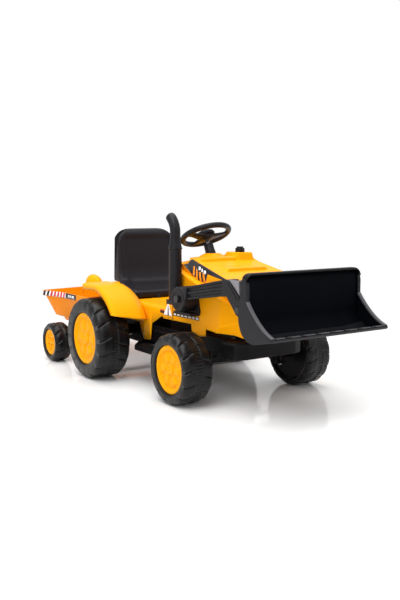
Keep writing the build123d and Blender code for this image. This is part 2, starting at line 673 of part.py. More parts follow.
# ---------------------------------------------------------------- export
PIECES = {
    "chassis_pan": chassis_pan, "front_subframe": front_subframe, "front_axle_beam": front_axle_beam,
    "kingpins": kingpins, "front_bumper": front_bumper, "body_shell": body_shell, "hood": hood,
    "grille": grille, "headlights": headlights, "dash_panel": dash_panel, "column_boot": column_boot,
    "steering_support": steering_support, "filler_cap": filler_cap, "exhaust_silencer": exhaust_silencer,
    "exhaust_pipe": exhaust_pipe, "loader_bracket_left": loader_bracket,
    "loader_bracket_right": loader_bracket_right, "loader_pivot_bolts": loader_pivot_bolts,
    "footrest_left": footrest, "footrest_right": footrest_right, "battery": battery,
    "control_box": control_box, "wiring_loom": wiring_loom, "rear_axle": rear_axle,
    "rear_axle_nuts": rear_axle_nuts, "hitch_bracket": hitch_bracket, "steering_wheel": steering_wheel,
    "steering_pad": steering_pad, "steering_column": steering_column, "horn_button": horn_button,
    "tie_rod": tie_rod, "loader_cross_plate": loader_cross_plate, "bucket_pins": bucket_pins,
    "bucket": bucket, "seat": seat, "accelerator_pedal": accelerator_pedal,
    "direction_switch": direction_switch, "power_button": power_button, "hitch_pin": hitch_pin,
    "trailer_frame": trailer_frame, "trailer_axle": trailer_axle, "trailer_tub": trailer_tub,
}
HANDED = {"gearmotor": gearmotor, "knuckle": knuckle, "loader_arm": loader_arm}


def main():
    os.makedirs("parts", exist_ok=True)
    for name, make in PIECES.items():
        save(name, make())
    for name, make in HANDED.items():
        shape = make()
        save(f"{name}_left", shape)
        save(f"{name}_right", mirrored(shape))
    wheels()


main()
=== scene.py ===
"""Looks of the ride-on digger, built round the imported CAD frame.

Shapes are given in millimetres from the rear axle: X forward, Y to the rider's left, Z up from the floor.
"""

import math

import bmesh
import bpy
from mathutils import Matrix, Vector


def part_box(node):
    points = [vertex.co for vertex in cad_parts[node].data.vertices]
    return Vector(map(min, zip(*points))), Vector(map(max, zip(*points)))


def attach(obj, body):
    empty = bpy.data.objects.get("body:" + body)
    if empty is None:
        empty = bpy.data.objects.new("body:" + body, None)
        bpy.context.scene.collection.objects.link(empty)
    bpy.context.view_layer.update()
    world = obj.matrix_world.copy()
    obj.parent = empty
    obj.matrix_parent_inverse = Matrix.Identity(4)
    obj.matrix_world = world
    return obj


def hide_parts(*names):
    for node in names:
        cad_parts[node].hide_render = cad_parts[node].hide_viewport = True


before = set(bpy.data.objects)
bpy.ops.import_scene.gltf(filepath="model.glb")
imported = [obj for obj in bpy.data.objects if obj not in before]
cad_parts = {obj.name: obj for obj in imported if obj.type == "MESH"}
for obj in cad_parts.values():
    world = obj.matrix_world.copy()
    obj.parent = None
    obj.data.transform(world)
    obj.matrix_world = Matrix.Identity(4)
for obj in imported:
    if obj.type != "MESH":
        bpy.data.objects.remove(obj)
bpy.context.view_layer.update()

axle_low, axle_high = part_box("rear_axle")
AXLE_X = (axle_low.x + axle_high.x) / 2
MM = 0.001
BOTH = (1, -1)
SIDE_NAME = {1: "left", -1: "right"}


def at(p):
    """Millimetres from the rear axle to metres in the row frame."""
    return Vector((p[0] * MM + AXLE_X, p[1] * MM, p[2] * MM))


# ---- numbers
def lerp(a, b, t):
    return a + (b - a) * t


def smooth(a, b, x):
    t = min(1.0, max(0.0, (x - a) / (b - a)))
    return t * t * (3 - 2 * t)


def interp(x, points):
    """Piecewise linear value at x of a list of (x, value)."""
    if x <= points[0][0]:
        return points[0][1]
    for (x0, v0), (x1, v1) in zip(points, points[1:]):
        if x <= x1:
            return lerp(v0, v1, (x - x0) / (x1 - x0)) if x1 > x0 else v1
    return points[-1][1]


def rounded(points, radius, steps=4, closed=False):
    """A polyline with every corner rounded; radius is one number or one for each point."""
    pts = [Vector(p) for p in points]
    count = len(pts)
    radii = radius if isinstance(radius, (list, tuple)) else [radius] * count
    out = []
    for i, p in enumerate(pts):
        if not closed and i in (0, count - 1):
            out.append(p)
            continue
        before, after = pts[i - 1] - p, pts[(i + 1) % count] - p
        reach = min(radii[i], before.length * 0.48, after.length * 0.48)
        a, b = p + before.normalized() * reach, p + after.normalized() * reach
        for k in range(steps + 1):
            t = k / steps
            out.append(a * (1 - t) ** 2 + p * 2 * t * (1 - t) + b * t * t)
    return out


def spread(start, end, step):
    """Evenly spaced values from start to end, at most step apart."""
    count = max(1, math.ceil(abs(end - start) / step))
    return [lerp(start, end, i / count) for i in range(count + 1)]


# ---- materials
def add(tree, kind, settings=None, **inputs):
    node = tree.nodes.new("ShaderNode" + kind)
    for key, value in (settings or {}).items():
        setattr(node, key, value)
    for key, value in inputs.items():
        socket = node.inputs[key.replace("_", " ")]
        if isinstance(value, bpy.types.NodeSocket):
            tree.links.new(value, socket)
        else:
            socket.default_value = value
    return node


def blend_colour(tree, factor, a, b):
    node = tree.nodes.new("ShaderNodeMix")
    node.data_type = "RGBA"
    for index, value in ((0, factor), (6, a), (7, b)):
        if isinstance(value, bpy.types.NodeSocket):
            tree.links.new(value, node.inputs[index])
        else:
            node.inputs[index].default_value = value
    return node.outputs[2]


def ramp(tree, value, low, high):
    """Maps a value from low..high to 0..1."""
    return add(tree, "MapRange", Value=value, From_Min=low, From_Max=high).outputs[0]


def times(tree, value, factor):
    node = add(tree, "Math", {"operation": "MULTIPLY"})
    tree.links.new(value, node.inputs[0])
    node.inputs[1].default_value = factor
    return node.outputs[0]


def shade(colour, factor):
    return tuple(min(1.0, c * factor) for c in colour[:3]) + (1.0,)


def moulded(name, colour, roughness, slot=None, coat=0.0, grain=0.12, metallic=0.0, mottle=0.07,
            wear=0.25, specular=0.5, sheen=(1.0, 1.0, 1.0)):
    """Moulded plastic or plated metal: cloudy colour, fine grain, faint scuffs and paler edges.

    Returns the material and the frame slot that it stands for.
    """
    material = bpy.data.materials.new(name)
    material.use_nodes = True
    tree = material.node_tree
    place = add(tree, "TexCoord").outputs["Object"]
    cloud = add(tree, "TexNoise", Vector=place, Scale=11.0, Detail=5.0, Roughness=0.6).outputs["Fac"]
    fine = add(tree, "TexNoise", Vector=place, Scale=1500.0, Detail=2.0).outputs["Fac"]
    drawn = add(tree, "Mapping", Vector=place, Scale=(30.0, 90.0, 260.0), Rotation=(0.3, 0.5, 0.2)).outputs[0]
    scratch = add(tree, "TexNoise", Vector=drawn, Scale=1.0, Detail=6.0, Roughness=0.7).outputs["Fac"]
    scuff = ramp(tree, scratch, 0.62, 0.78)
    edge = ramp(tree, add(tree, "NewGeometry").outputs["Pointiness"], 0.52, 0.60)
    base = blend_colour(tree, cloud, shade(colour, 1 - mottle), shade(colour, 1 + mottle))
    base = blend_colour(tree, times(tree, edge, wear), base, shade([c + 0.02 for c in colour], 1.5))
    base = blend_colour(tree, times(tree, scuff, wear * 0.35), base, shade([c + 0.03 for c in colour], 1.25))
    rough = add(tree, "MapRange", Value=cloud, From_Min=0.3, From_Max=0.7,
                To_Min=max(0.02, roughness - 0.05), To_Max=roughness + 0.06).outputs[0]
    bump = add(tree, "Bump", Strength=grain, Distance=0.0004, Height=fine).outputs[0]
    shader = tree.nodes["Principled BSDF"]
    for socket, value in (("Base Color", base), ("Roughness", rough), ("Normal", bump)):
        tree.links.new(value, shader.inputs[socket])
    for socket, value in (("Metallic", metallic), ("Specular IOR Level", specular), ("Coat Weight", coat),
                          ("Specular Tint", (*sheen, 1.0)), ("Coat Roughness", 0.12)):
        shader.inputs[socket].default_value = value
    return material, slot or name


WARM = (1.0, 0.66, 0.12)
GLOSS = {"grain": 0.05, "mottle": 0.03, "specular": 0.1, "sheen": WARM}
FILM = {"coat": 0.1, "grain": 0.02, "wear": 0.0, "specular": 0.25}
YELLOW = moulded("yellow_plastic", (0.87, 0.335, 0.002), 0.34, **GLOSS)
# The tub is the body's yellow plastic painted darker and more orange: painted shade over the whole tub, its sump and
# its flutes.
TUB_SHADED_YELLOW = moulded("tub_painted_shade_yellow", (0.82, 0.235, 0.0015), 0.38, "yellow_plastic", **GLOSS)
HUB_YELLOW = moulded("hubcap_plastic", (0.8, 0.33, 0.003), 0.4, "yellow_plastic", **GLOSS)
BLACK = moulded("black_plastic", (0.0075, 0.0066, 0.0082), 0.38, grain=0.25, specular=0.2)
# Black plastic painted darker: painted shade on the parts underneath the body and on the bumper.
SHADE_BLACK = moulded("painted_shade_black_plastic", (0.0036, 0.0032, 0.004), 0.45, "black_plastic", grain=0.25,
                      specular=0.1)
SEAT_BLACK = moulded("seat_plastic", (0.0095, 0.0078, 0.0105), 0.42, "black_plastic", grain=0.35,
                     specular=0.17)
SCOOP = moulded("bucket_plastic", (0.0085, 0.0078, 0.0098), 0.4, grain=0.2, specular=0.2)
# Bucket plastic painted near black: painted shade inside the bucket, on the back of its lining and on the inner faces
# of the end plates.
SCOOP_SHADE = moulded("bucket_painted_shade", (0.0012, 0.0018, 0.003), 0.55, "bucket_plastic", grain=0.15, wear=0.05,
                     specular=0.03)
# Bucket plastic painted lighter: painted light on the floor of the bucket near the lip.
SCOOP_LIT_FLOOR = moulded("bucket_lit_floor", (0.0052, 0.0056, 0.0068), 0.45, "bucket_plastic", grain=0.2,
                      specular=0.12)
# Bucket plastic painted darker for the rolled top edge: painted shade there.
SCOOP_TOP_SHADE = moulded("bucket_top", (0.0035, 0.0034, 0.0042), 0.4, "bucket_plastic", grain=0.15, specular=0.1)
# Bucket plastic painted pale grey: painted highlight on the front strips of the end plates and on the teeth.
SCOOP_HIGHLIGHT = moulded("bucket_painted_highlight", (0.06, 0.058, 0.064), 0.45, "bucket_plastic", grain=0.2, specular=0.3)
# Black plastic painted grey: painted light on the loader's cross sheet and gussets, which face the light.
SHEET_LIT_GREY = moulded("cross_sheet_painted_light", (0.2, 0.19, 0.205), 0.45, "black_plastic", grain=0.2, specular=0.3)
TYRE = moulded("tyre_plastic", (0.0052, 0.0048, 0.005), 0.3, grain=0.22, wear=0.3, specular=0.22)
STEEL = moulded("zinc_steel", (0.6, 0.6, 0.63), 0.3, metallic=1.0, grain=0.1)
BLACK_STEEL = moulded("black_steel", (0.016, 0.016, 0.018), 0.35, grain=0.2, specular=0.4)
RED = moulded("red_plastic", (0.55, 0.02, 0.012), 0.3, coat=0.2, grain=0.05)
LENS = moulded("lamp_lens", (0.8, 0.79, 0.72), 0.12, coat=0.8, grain=0.0)
INSIDE = moulded("dark_internal", (0.05, 0.05, 0.055), 0.5)
FILM_BLACK = moulded("decal_black", (0.018, 0.017, 0.019), 0.32, "black_plastic", **FILM)
FILM_WHITE = moulded("decal_white", (0.8, 0.8, 0.8), 0.32, "lamp_lens", mottle=0.02, **FILM)
FILM_RED = moulded("decal_red", (0.62, 0.02, 0.04), 0.32, "red_plastic", **FILM)
FILM_ORANGE = moulded("decal_orange", (0.9, 0.27, 0.005), 0.32, "yellow_plastic", **FILM)


# ---- mesh building
def heading(points, i):
    """Direction of a path at its point i."""
    return (points[min(i + 1, len(points) - 1)] - points[max(i - 1, 0)]).normalized()


def ring_of(u, v, radius, count):
    """Offsets of the points of a circle that lies in the plane of u and v."""
    turns = [2 * math.pi * k / count for k in range(count)]
    return [(u * math.cos(a) + v * math.sin(a)) * radius for a in turns]


def skin(rows, wrap_rows=False, wrap_cols=False, cap_rows=False):
    """Vertices and faces of a sheet through rows of points."""
    height, width = len(rows), len(rows[0])
    verts = [p for row in rows for p in row]
    faces = []
    for i in range(height if wrap_rows else height - 1):
        for j in range(width if wrap_cols else width - 1):
            a, b = i * width, (i + 1) % height * width
            k = (j + 1) % width
            faces.append((a + j, a + k, b + k, b + j))
    if cap_rows:
        faces.append(tuple(range(width)))
        faces.append(tuple(range((height - 1) * width, height * width)))
    return verts, faces


def solid(rows):
    """A closed bar through rings of points, with a face over each end."""
    return skin(rows, wrap_cols=True, cap_rows=True)


def join(*parts):
    verts, faces = [], []
    for v, f in parts:
        faces += [tuple(i + len(verts) for i in face) for face in f]
        verts += list(v)
    return verts, faces


def flipped(shape, side):
    """The shape itself for the left side (1), its mirror image for the right (-1)."""
    verts, faces = shape
    return [(v[0], v[1] * side, v[2]) for v in verts], faces


def piece(name, shape, body, finish, nodes=(), sharp=34, bevel=0.0, segments=3, thickness=0.0):
    """Makes one object from (vertices, faces), gives it its finish and lets it ride on a CAD body."""
    verts, faces = shape
    bm = bmesh.new()
    made = [bm.verts.new(at(v)) for v in verts]
    bm.verts.ensure_lookup_table()
    for face in faces:
        corners = [made[i] for i in face]
        if len(set(corners)) > 2 and not bm.faces.get(corners):
            bm.faces.new(corners)
    bmesh.ops.remove_doubles(bm, verts=bm.verts, dist=0.00002)
    bmesh.ops.dissolve_degenerate(bm, edges=bm.edges, dist=0.00001)
    bmesh.ops.recalc_face_normals(bm, faces=bm.faces)
    mesh = bpy.data.meshes.new(name)
    bm.to_mesh(mesh)
    bm.free()
    mesh.shade_smooth()
    obj = bpy.data.objects.new(name, mesh)
    bpy.context.scene.collection.objects.link(obj)
    material, slot = finish
    mesh.materials.append(material)
    if thickness:
        shell = obj.modifiers.new("wall", "SOLIDIFY")
        shell.thickness, shell.offset = thickness * MM, 0.0
    if bevel:
        round_edges(obj, bevel, segments)
    else:
        mesh.set_sharp_from_angle(angle=math.radians(sharp))
    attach(obj, body)
    if nodes:
        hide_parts(*nodes)
    return obj


def round_edges(obj, width, segments=3):
    """Bevels the sharp edges of an object."""
    edges = obj.modifiers.new("edges", "BEVEL")
    edges.width, edges.segments = width * MM, segments
    edges.limit_method, edges.angle_limit = "ANGLE", math.radians(32)
    edges.use_clamp_overlap = True
    edges.harden_normals = True


def slab(outline, y0, y1):
    """An (X, Z) outline with thickness from y0 to y1."""
    return solid([[(p[0], y, p[1]) for p in outline] for y in (y0, y1)])


def plate(outline, z0, z1):
    """An (X, Y) outline with thickness from z0 to z1."""
    return solid([[(p[0], p[1], z) for p in outline] for z in (z0, z1)])


def crate(x0, x1, y0, y1, z0, z1):
    return plate([(x0, y0), (x1, y0), (x1, y1), (x0, y1)], z0, z1)


def lathe(profile, origin, axis, count=64):
    """Revolves (radius, height along the axis) points."""
    n = Vector(axis).normalized()
    u = n.orthogonal().normalized()
    v = n.cross(u)
    base = Vector(origin)
    rows = [[base + n * h + out * r for r, h in profile] for out in ring_of(u, v, 1, count)]
    return skin(rows, wrap_rows=True)


def tube(points, radius, count=20):
    """A round bar along a path; radius is one number or one for each point."""
    pts = [Vector(p) for p in points]
    radii = radius if isinstance(radius, (list, tuple)) else [radius] * len(pts)
    first = (pts[1] - pts[0]).normalized()
    u = first.orthogonal().normalized()
    rows = []
    for i, p in enumerate(pts):
        n = heading(pts, i)
        u = (u - n * u.dot(n)).normalized()
        rows.append([p + out for out in ring_of(u, n.cross(u), radii[i], count)])
    return solid(rows)


def hoop(points, radius, count=16):
    """A round bar along a closed path."""
    pts = [Vector(p) for p in points]
    centre = sum(pts, Vector()) / len(pts)
    rows = []
    for i, p in enumerate(pts):
        n = (pts[(i + 1) % len(pts)] - pts[i - 1]).normalized()
        out = (p - centre) - n * (p - centre).dot(n)
        u = out.normalized()
        rows.append([p + around for around in ring_of(u, n.cross(u), radius, count)])
    return skin(rows, wrap_rows=True, wrap_cols=True)


# ---- wheels
def tyre(radius, inner, outer, cap_r, x, lugs):
    """Blow-moulded tread: slanted grooves on each shoulder and a finely ribbed centre band."""
    edge = 15
    tread = [(radius, y) for y in spread(inner + edge, outer - edge, 2.6)]
    section = rounded([(8, inner + 9), (radius - 26, inner + 9), (radius - 19, inner), (radius - 9, inner)], 4, 3)
    section += rounded([(radius - 9, inner), (radius - 2.5, inner + 6), (radius, inner + edge)], 6, 4)[1:]
    section += [Vector(p) for p in tread[1:-1]]
    section += rounded([(radius, outer - edge), (radius - 2.5, outer - 6), (radius - 9, outer)], 6, 4)
    section += rounded([(radius - 9, outer), (cap_r + 9, outer - 0.5), (cap_r + 4, outer - 2),
                        (cap_r + 2.7, outer - 17), (8, outer - 17)], 2.0, 3)[1:]
    count = lugs * 28
    rows = []
    for i in range(count):
        turn = i / count
        row = []
        for r, y in section:
            across = (y - inner) / (outer - inner)
            half = 1 if across > 0.5 else -1
            away = abs(across - 0.5) * 2
            cut = 0.0
            if r > radius - 12:
                phase = (turn * lugs + 0.42 * away + (0.5 if half < 0 else 0.0)) % 1.0
                near = abs(phase - 0.5)
                groove = 1 - smooth(0.02, 0.075, near)
                crown = 2.4 * math.sin(math.pi * ((phase + 0.5) % 1.0))
                if away > 0.2:
                    cut = groove * lerp(2.4, 4.6, smooth(0.3, 0.95, away)) + (2.4 - crown) * smooth(0.2, 0.55, away)
                else:
                    cut = 1.6 + 1.2 * (0.5 + 0.5 * math.cos(2 * math.pi * turn * lugs * 5))
                cut *= smooth(radius - 12, radius - 5, r)
            a = 2 * math.pi * turn
            row.append((x + (r - cut) * math.cos(a), y, radius + (r - cut) * math.sin(a)))
        rows.append(row)
    return skin(rows, wrap_rows=True)


def hub_cap(outer, cap_r, x, z):
    """Dished cap: rolled rim, six rounded lobes, a ring of studs and a stepped centre boss."""
    rim = cap_r + 2.4
    rows = []
    count = 120
    for i in range(count):
        a = 2 * math.pi * i / count
        row = []
        for r in [0.5] + spread(2, cap_r - 12, 1.6) + spread(cap_r - 11, rim - 0.6, 1.3) + [rim]:
            t = r / cap_r
            h = outer - 12.5
            h += 8.0 * smooth(cap_r - 15, cap_r - 6, r) - 2.0 * smooth(rim - 3, rim, r)
            lobe = smooth(0.28, 0.40, t) * (1 - smooth(0.66, 0.80, t))
            h += 6.0 * lobe * smooth(-0.7, 0.6, math.cos(6 * a))
            h += 6.0 * (1 - smooth(0.19, 0.25, t)) - 2.4 * (1 - smooth(0.10, 0.14, t))
            h += 1.6 * (1 - smooth(0.03, 0.06, t))
            stud = math.hypot(r * math.cos(a % (math.pi / 3) - math.pi / 6) - cap_r * 0.72,
                              r * math.sin(a % (math.pi / 3) - math.pi / 6))
            h += 3.0 * (1 - smooth(cap_r * 0.045, cap_r * 0.07, stud))
            row.append((x + r * math.cos(a), h, z + r * math.sin(a)))
        row.append((x + rim * math.cos(a), outer - 8, z + rim * math.sin(a)))
        row.append((x + (cap_r - 4) * math.cos(a), outer - 15, z + (cap_r - 4) * math.sin(a)))
        rows.append(row)
    verts, faces = skin(rows, wrap_rows=True)
    width = len(rows[0])
    faces.append(tuple(i * width for i in range(count)))
    faces.append(tuple(i * width + width - 1 for i in range(count)))
    return verts, faces


def wheels():
    sets = (
        ("rear", 135, 215, 325, 84, 0, 16),
        ("front", 105, 180, 275, 69, 462, 14),
        ("trailer", 72, 248, 314, 46, -327, 12),
    )
    for name, radius, inner, outer, cap_r, x, lugs in sets:
        tread = tyre(radius, inner, outer, cap_r, x, lugs)
        cap = hub_cap(outer, cap_r, x, radius)
        for side in BOTH:
            hand = SIDE_NAME[side]
            body = f"{name}_{hand}"
            piece(f"{name}_tyre_{hand}", flipped(tread, side), body, TYRE, [f"{name}_wheel_{hand}"], sharp=50)
            piece(f"{name}_cap_{hand}", flipped(cap, side), body, HUB_YELLOW, [f"{name}_hubcap_{hand}"], sharp=50)


# ---- tractor body
def section_loft(stations, half_section):
    """Skin through mirrored (Y, Z) half sections, each listed from the outside bottom to the centre top."""
    rows = []
    for x in stations:
        half = half_section(x)
        rows.append([(x, y, z) for y, z in half] + [(x, -y, z) for y, z in reversed(half)])
    return rows


TUNNEL_TOP = [(-150, 304), (-112, 304), (-20, 255), (286, 255)]
SKIRT = [
    (-150, 190), (76, 187), (106, 131), (148, 136), (158, 192), (227, 226), (234, 218), (398, 221), (401, 199),
    (446, 189), (472, 193), (474, 214), (522, 212), (579, 209), (606, 199), (660, 249),
]
NOSE_TOP = [(285, 389.5), (410, 350.5), (560, 304.5), (655, 261.5), (660, 252)]
NOSE_PLAN = [(545, 148.2), (662, 103.0)]


def tunnel():
    def half(x):
        top, low = interp(x, TUNNEL_TOP), interp(x, SKIRT)
        corner = rounded([(148.3, low), (148.3, top), (0, top)], 17, 7)
        side = [Vector((148.3, z)) for z in spread(low, corner[1][1], 400)[:-1]]
        return side + corner[1:]
    stations = spread(-148, 70, 9) + spread(76, 106, 3) + spread(110, 146, 6) + spread(148, 158, 1.5)
    stations += spread(162, 227, 6) + [230, 234] + spread(240, 286, 9)
    rows = section_loft(stations, half)
    verts, faces = skin(rows)
    faces.append(tuple(range(len(rows[0]))))
    piece("body_tunnel", (verts, faces), "tractor", YELLOW, ["body_shell"], thickness=3.4, sharp=38)


def nose_half_width(x, z):
    """Side of the front panel: flat, then cut in by a plane that leans forward as it goes down."""
    plain = interp(x, NOSE_PLAN)
    chin = 148.2 - (0.556 * (x - 530) - 0.489 * (z - 212))
    ridge = 2.8 * math.exp(-((plain - chin) / 4.5) ** 2)
    return min(plain, chin) + ridge


def nose():
    """Front panel; its rear wall stands one station in, clear of the power button."""

    def half(x):
        top, low = interp(x, NOSE_TOP), interp(x, SKIRT)
        points = [Vector((nose_half_width(x, z), z)) for z in (low, max(low + 1.0, top - 7))]
        points = [points[0].lerp(points[-1], k / 21) for k in range(22)]
        points = [Vector((nose_half_width(x, p.y), p.y)) for p in points]
        edge = nose_half_width(x, top)
        return points + rounded([points[-1], (edge - 0.3, top), (0, top)], 5, 5)[1:]
    stations = spread(285, 397, 7) + [398, 401] + spread(405, 471, 5) + [472, 474]
    stations += spread(478, 655, 4) + [657, 658.5]
    rows = section_loft(stations, half)
    verts, faces = skin(rows)
    faces.append(tuple(range(len(rows[0]), 2 * len(rows[0]))))
    faces.append(tuple(range((len(rows) - 1) * len(rows[0]), len(rows) * len(rows[0]))))
    return piece("body_nose", (verts, faces), "tractor", YELLOW, ["body_shell"], thickness=3.4, sharp=30)


FENDER_CENTRE = (-40.0, 104.0)
FENDER_ACROSS = [(148, 24), (158, 16), (170, 8), (180, 2.5), (188, 0.4), (198, 0), (215, 0), (240, 0), (262, 0.2),
                 (272, 1.2), (277, 3.4), (279.5, 7), (280, 12), (278.5, 19)]


def fender(side):
    """Mudguard: a crowned arch whose inner edge falls away to the seat and whose outer edge rolls under."""
    cx, cz = FENDER_CENTRE
    rows = []
    for y, drop in FENDER_ACROSS:
        radius = 215.4 - drop
        roof = 312.6 - drop
        rear = -122 if y < 245 else lerp(-122, -92, (y - 245) / 35)
        end_z = lerp(200, 224, (y - 148) / 132)
        start = math.acos(max(-1.0, min(1.0, (rear - cx) / radius)))
        end = math.asin((end_z - cz) / radius)
        row = [(rear + 1.5, y * side, min(cz + radius * math.sin(start), roof) - 15)]
        for k in range(57):
            a = lerp(start, end, k / 56)
            z = cz + radius * math.sin(a)
            flat = smooth(roof - 6, roof + 6, z)
            row.append((cx + radius * math.cos(a), y * side, lerp(z, roof, flat)))
        rows.append(row)
    piece(f"fender_{SIDE_NAME[side]}", skin(rows), "tractor", YELLOW, ["body_shell"], thickness=3.4, sharp=40)


def fender_hump(side):
    """Low rounded hump at the tail of each mudguard, longer towards the front."""
    rows = []
    for i in range(17):
        v = i / 16 * math.pi / 2
        row = []
        for k in range(48):
            a = 2 * math.pi * k / 48
            reach = 52 if math.cos(a) > 0 else 24
            row.append((-152 + reach * math.cos(a) * math.cos(v), (212 + 27 * math.sin(a) * math.cos(v)) * side,
                        304 + 32 * math.sin(v)))
        rows.append(row)
    base = [(x, y, 290) for x, y, z in rows[0]]
    verts, faces = skin([base] + rows, wrap_cols=True)
    faces.append(tuple(range(48)))
    piece(f"fender_hump_{SIDE_NAME[side]}", (verts, faces), "tractor", YELLOW, ["body_shell"], sharp=60)
    shelf = plate(rounded([(-158, 150), (-158, 232), (-116, 244), (-110, 150)], 12, 4, closed=True), 294, 307)
    piece(f"fender_shelf_{SIDE_NAME[side]}", flipped(shelf, side), "tractor", YELLOW, ["body_shell"], bevel=3)


HOOD_TOP = rounded([(264, 404), (270, 411), (284, 415.5), (335, 416.5), (504, 378), (600, 357), (650, 334), (672, 268)],
                   [0, 5, 8, 14, 30, 20, 12, 0], 5)
HOOD_LOW = [(264, 397), (285, 390), (410, 351), (560, 305), (655, 262), (672, 266)]
HOOD_SIDE = [(255, 130), (365, 128), (418, 105)]
HOOD_PLAN = [(560, 130), (674, 92)]
HOOD_REAR = [(0, 264), (34, 264), (104, 320), (130, 324)]
HOOD_STEPS = ((378, 98, 8.0), (484, 76, 7.5))
COLUMN_MOUND = (288, 0)


def hood_x(x, y):
    """The rear edge is bowed in plan; the bow fades out forward of it."""
    reach = 400
    if x >= reach:
        return x
    rear = interp(abs(y), HOOD_REAR)
    return rear + (x - 264) * (reach - rear) / (reach - 264)


def hood_lift(x, y, top):
    """What stands above the hood's plain top: column plateau, filler block and two forward-facing steps."""
    away = math.hypot((x - COLUMN_MOUND[0]) * 0.85, y - COLUMN_MOUND[1])
    lift = 9.5 * (1 - smooth(22, 50, away))
    block = smooth(304, 314, x) * (1 - smooth(377, 386, x)) * smooth(33, 44, y) * (1 - smooth(96, 103, y))
    lift = max(lift, (430 - top) * block)
    for place, half, height in HOOD_STEPS:
        edge = place - 0.0004 * y * y
        rise = smooth(edge - 58, edge - 3, x) * (1 - smooth(edge - 1.2, edge + 1.2, x))
        groove = 3.0 * math.exp(-((x - edge - 2.6) / 1.5) ** 2)
        lift += (height * rise - groove) * (1 - smooth(half - 7, half + 3, abs(y))) * (1 - block)
    return lift


def hood():
    flat = 34

    def section(x, side):
        """Points from the side's bottom edge up and over to the middle."""
        top, low, plan = interp(x, HOOD_TOP), interp(x, HOOD_LOW), interp(x, HOOD_PLAN)
        knee = min(365.0, lerp(low, top, 0.75))
        wide, shoulder = min(130.0, plan), min(interp(top, HOOD_SIDE), plan - 3)
        path = rounded([(wide, low), (min(interp(knee, HOOD_SIDE), plan), knee), (shoulder, top), (0, top + 1.2)],
                       [0, 12, 6, 0], 6)[:-1]
        end = path[-1]
        out = [(x, (wide - 8) * side, low)]
        for p in path:
            out.append((hood_x(x, p.x), p.x * side, p.y))
        for k in range(1, flat + 1):
            y = end.x * (1 - k / flat) * side
            place = hood_x(x, y)
            ridge = interp(place, HOOD_TOP)
            out.append((place, y, lerp(ridge, ridge + 1.2, k / flat) + hood_lift(place, y, ridge)))
        return out
    stations = spread(264, 300, 2.5) + spread(303, 366, 3) + spread(367, 390, 1.1) + spread(394, 474, 5)
    stations += spread(476, 494, 1.1) + spread(498, 640, 7) + spread(644, 671, 1.8)
    rows = []
    for x in stations:
        rows.append(section(x, -1) + list(reversed(section(x, 1)))[1:])
    return piece("hood_cover", solid(rows), "tractor", YELLOW, ["hood"], sharp=38)


# ---- decals
def patch(x0, x1, z0, z1, lean=0):
    """Lower and upper edges of an upright patch whose top is shifted back by lean."""
    return [(x0, z0), (x1, z0)], [(x0 - lean, z1), (x1 - lean, z1)]


def decal(name, edges, side, on, finish, rows=5, columns=14, lift=0.35):
    """A thin film between a lower and an upper (X, Z) curve, laid on the side of another piece.

    on is that piece and the body it rides on.
    """
    lower, upper = edges
    target, body = on
    bpy.context.view_layer.update()
    shown = target.evaluated_get(bpy.context.evaluated_depsgraph_get())
    into = shown.matrix_world.inverted()

    def along(curve, t):
        place = t * (len(curve) - 1)
        i = min(int(place), len(curve) - 2)
        a, b = curve[i], curve[i + 1]
        return lerp(a[0], b[0], place - i), lerp(a[1], b[1], place - i)

    grid = []
    for j in range(rows + 1):
        row = []
        for i in range(columns + 1):
            (x0, z0), (x1, z1) = along(lower, i / columns), along(upper, i / columns)
            x, z = lerp(x0, x1, j / rows), lerp(z0, z1, j / rows)
            start = at((x, 330 * side, z))
            hit, place, normal, _ = shown.ray_cast(into @ start, Vector((0, -side, 0)))
            if not hit:
                place, normal = at((x, 150 * side, z)), Vector((0, side, 0))
            world = shown.matrix_world @ place + normal * lift * MM
            row.append(((world.x - AXLE_X) / MM, world.y / MM, world.z / MM))
        grid.append(row)
    piece(f"{name}_{SIDE_NAME[side]}", skin(grid), body, finish, thickness=0.2, sharp=60)


def slanted_bars(name, span, pitch, width, lean, heights, side, on, finish):
    """A row of leaning bars over a span of X; heights gives the lower and upper Z at a given X."""
    low, high = heights
    x, k = span[0], 0
    while x < span[1]:
        feet = (x, x + width)
        edges = [(foot, low(foot)) for foot in feet], [(foot - lean, high(foot - lean)) for foot in feet]
        decal(f"{name}_{k}", edges, side, on, finish, rows=12, columns=3, lift=1.1)
        x += pitch
        k += 1


HOOD_BAND_TOP = [(326, 400), (331, 410), (340, 413.2), (382, 403.8), (460, 386.2), (544, 367.2), (552, 366)]
HOOD_BAND_LOW = [(327, 396), (345, 396), (385, 386), (420, 378), (450, 374.5), (527, 364), (553, 365.2)]
VENT_TOP = [(323, 399), (351, 395), (380, 390), (417, 381), (449, 376)]
VENT_LOW = [(322, 380), (340, 374), (357, 368.5), (388, 359), (417, 352), (446, 348)]
BAR_TOP = [(320, 397), (372, 392), (384, 385), (396, 379), (449, 374)]


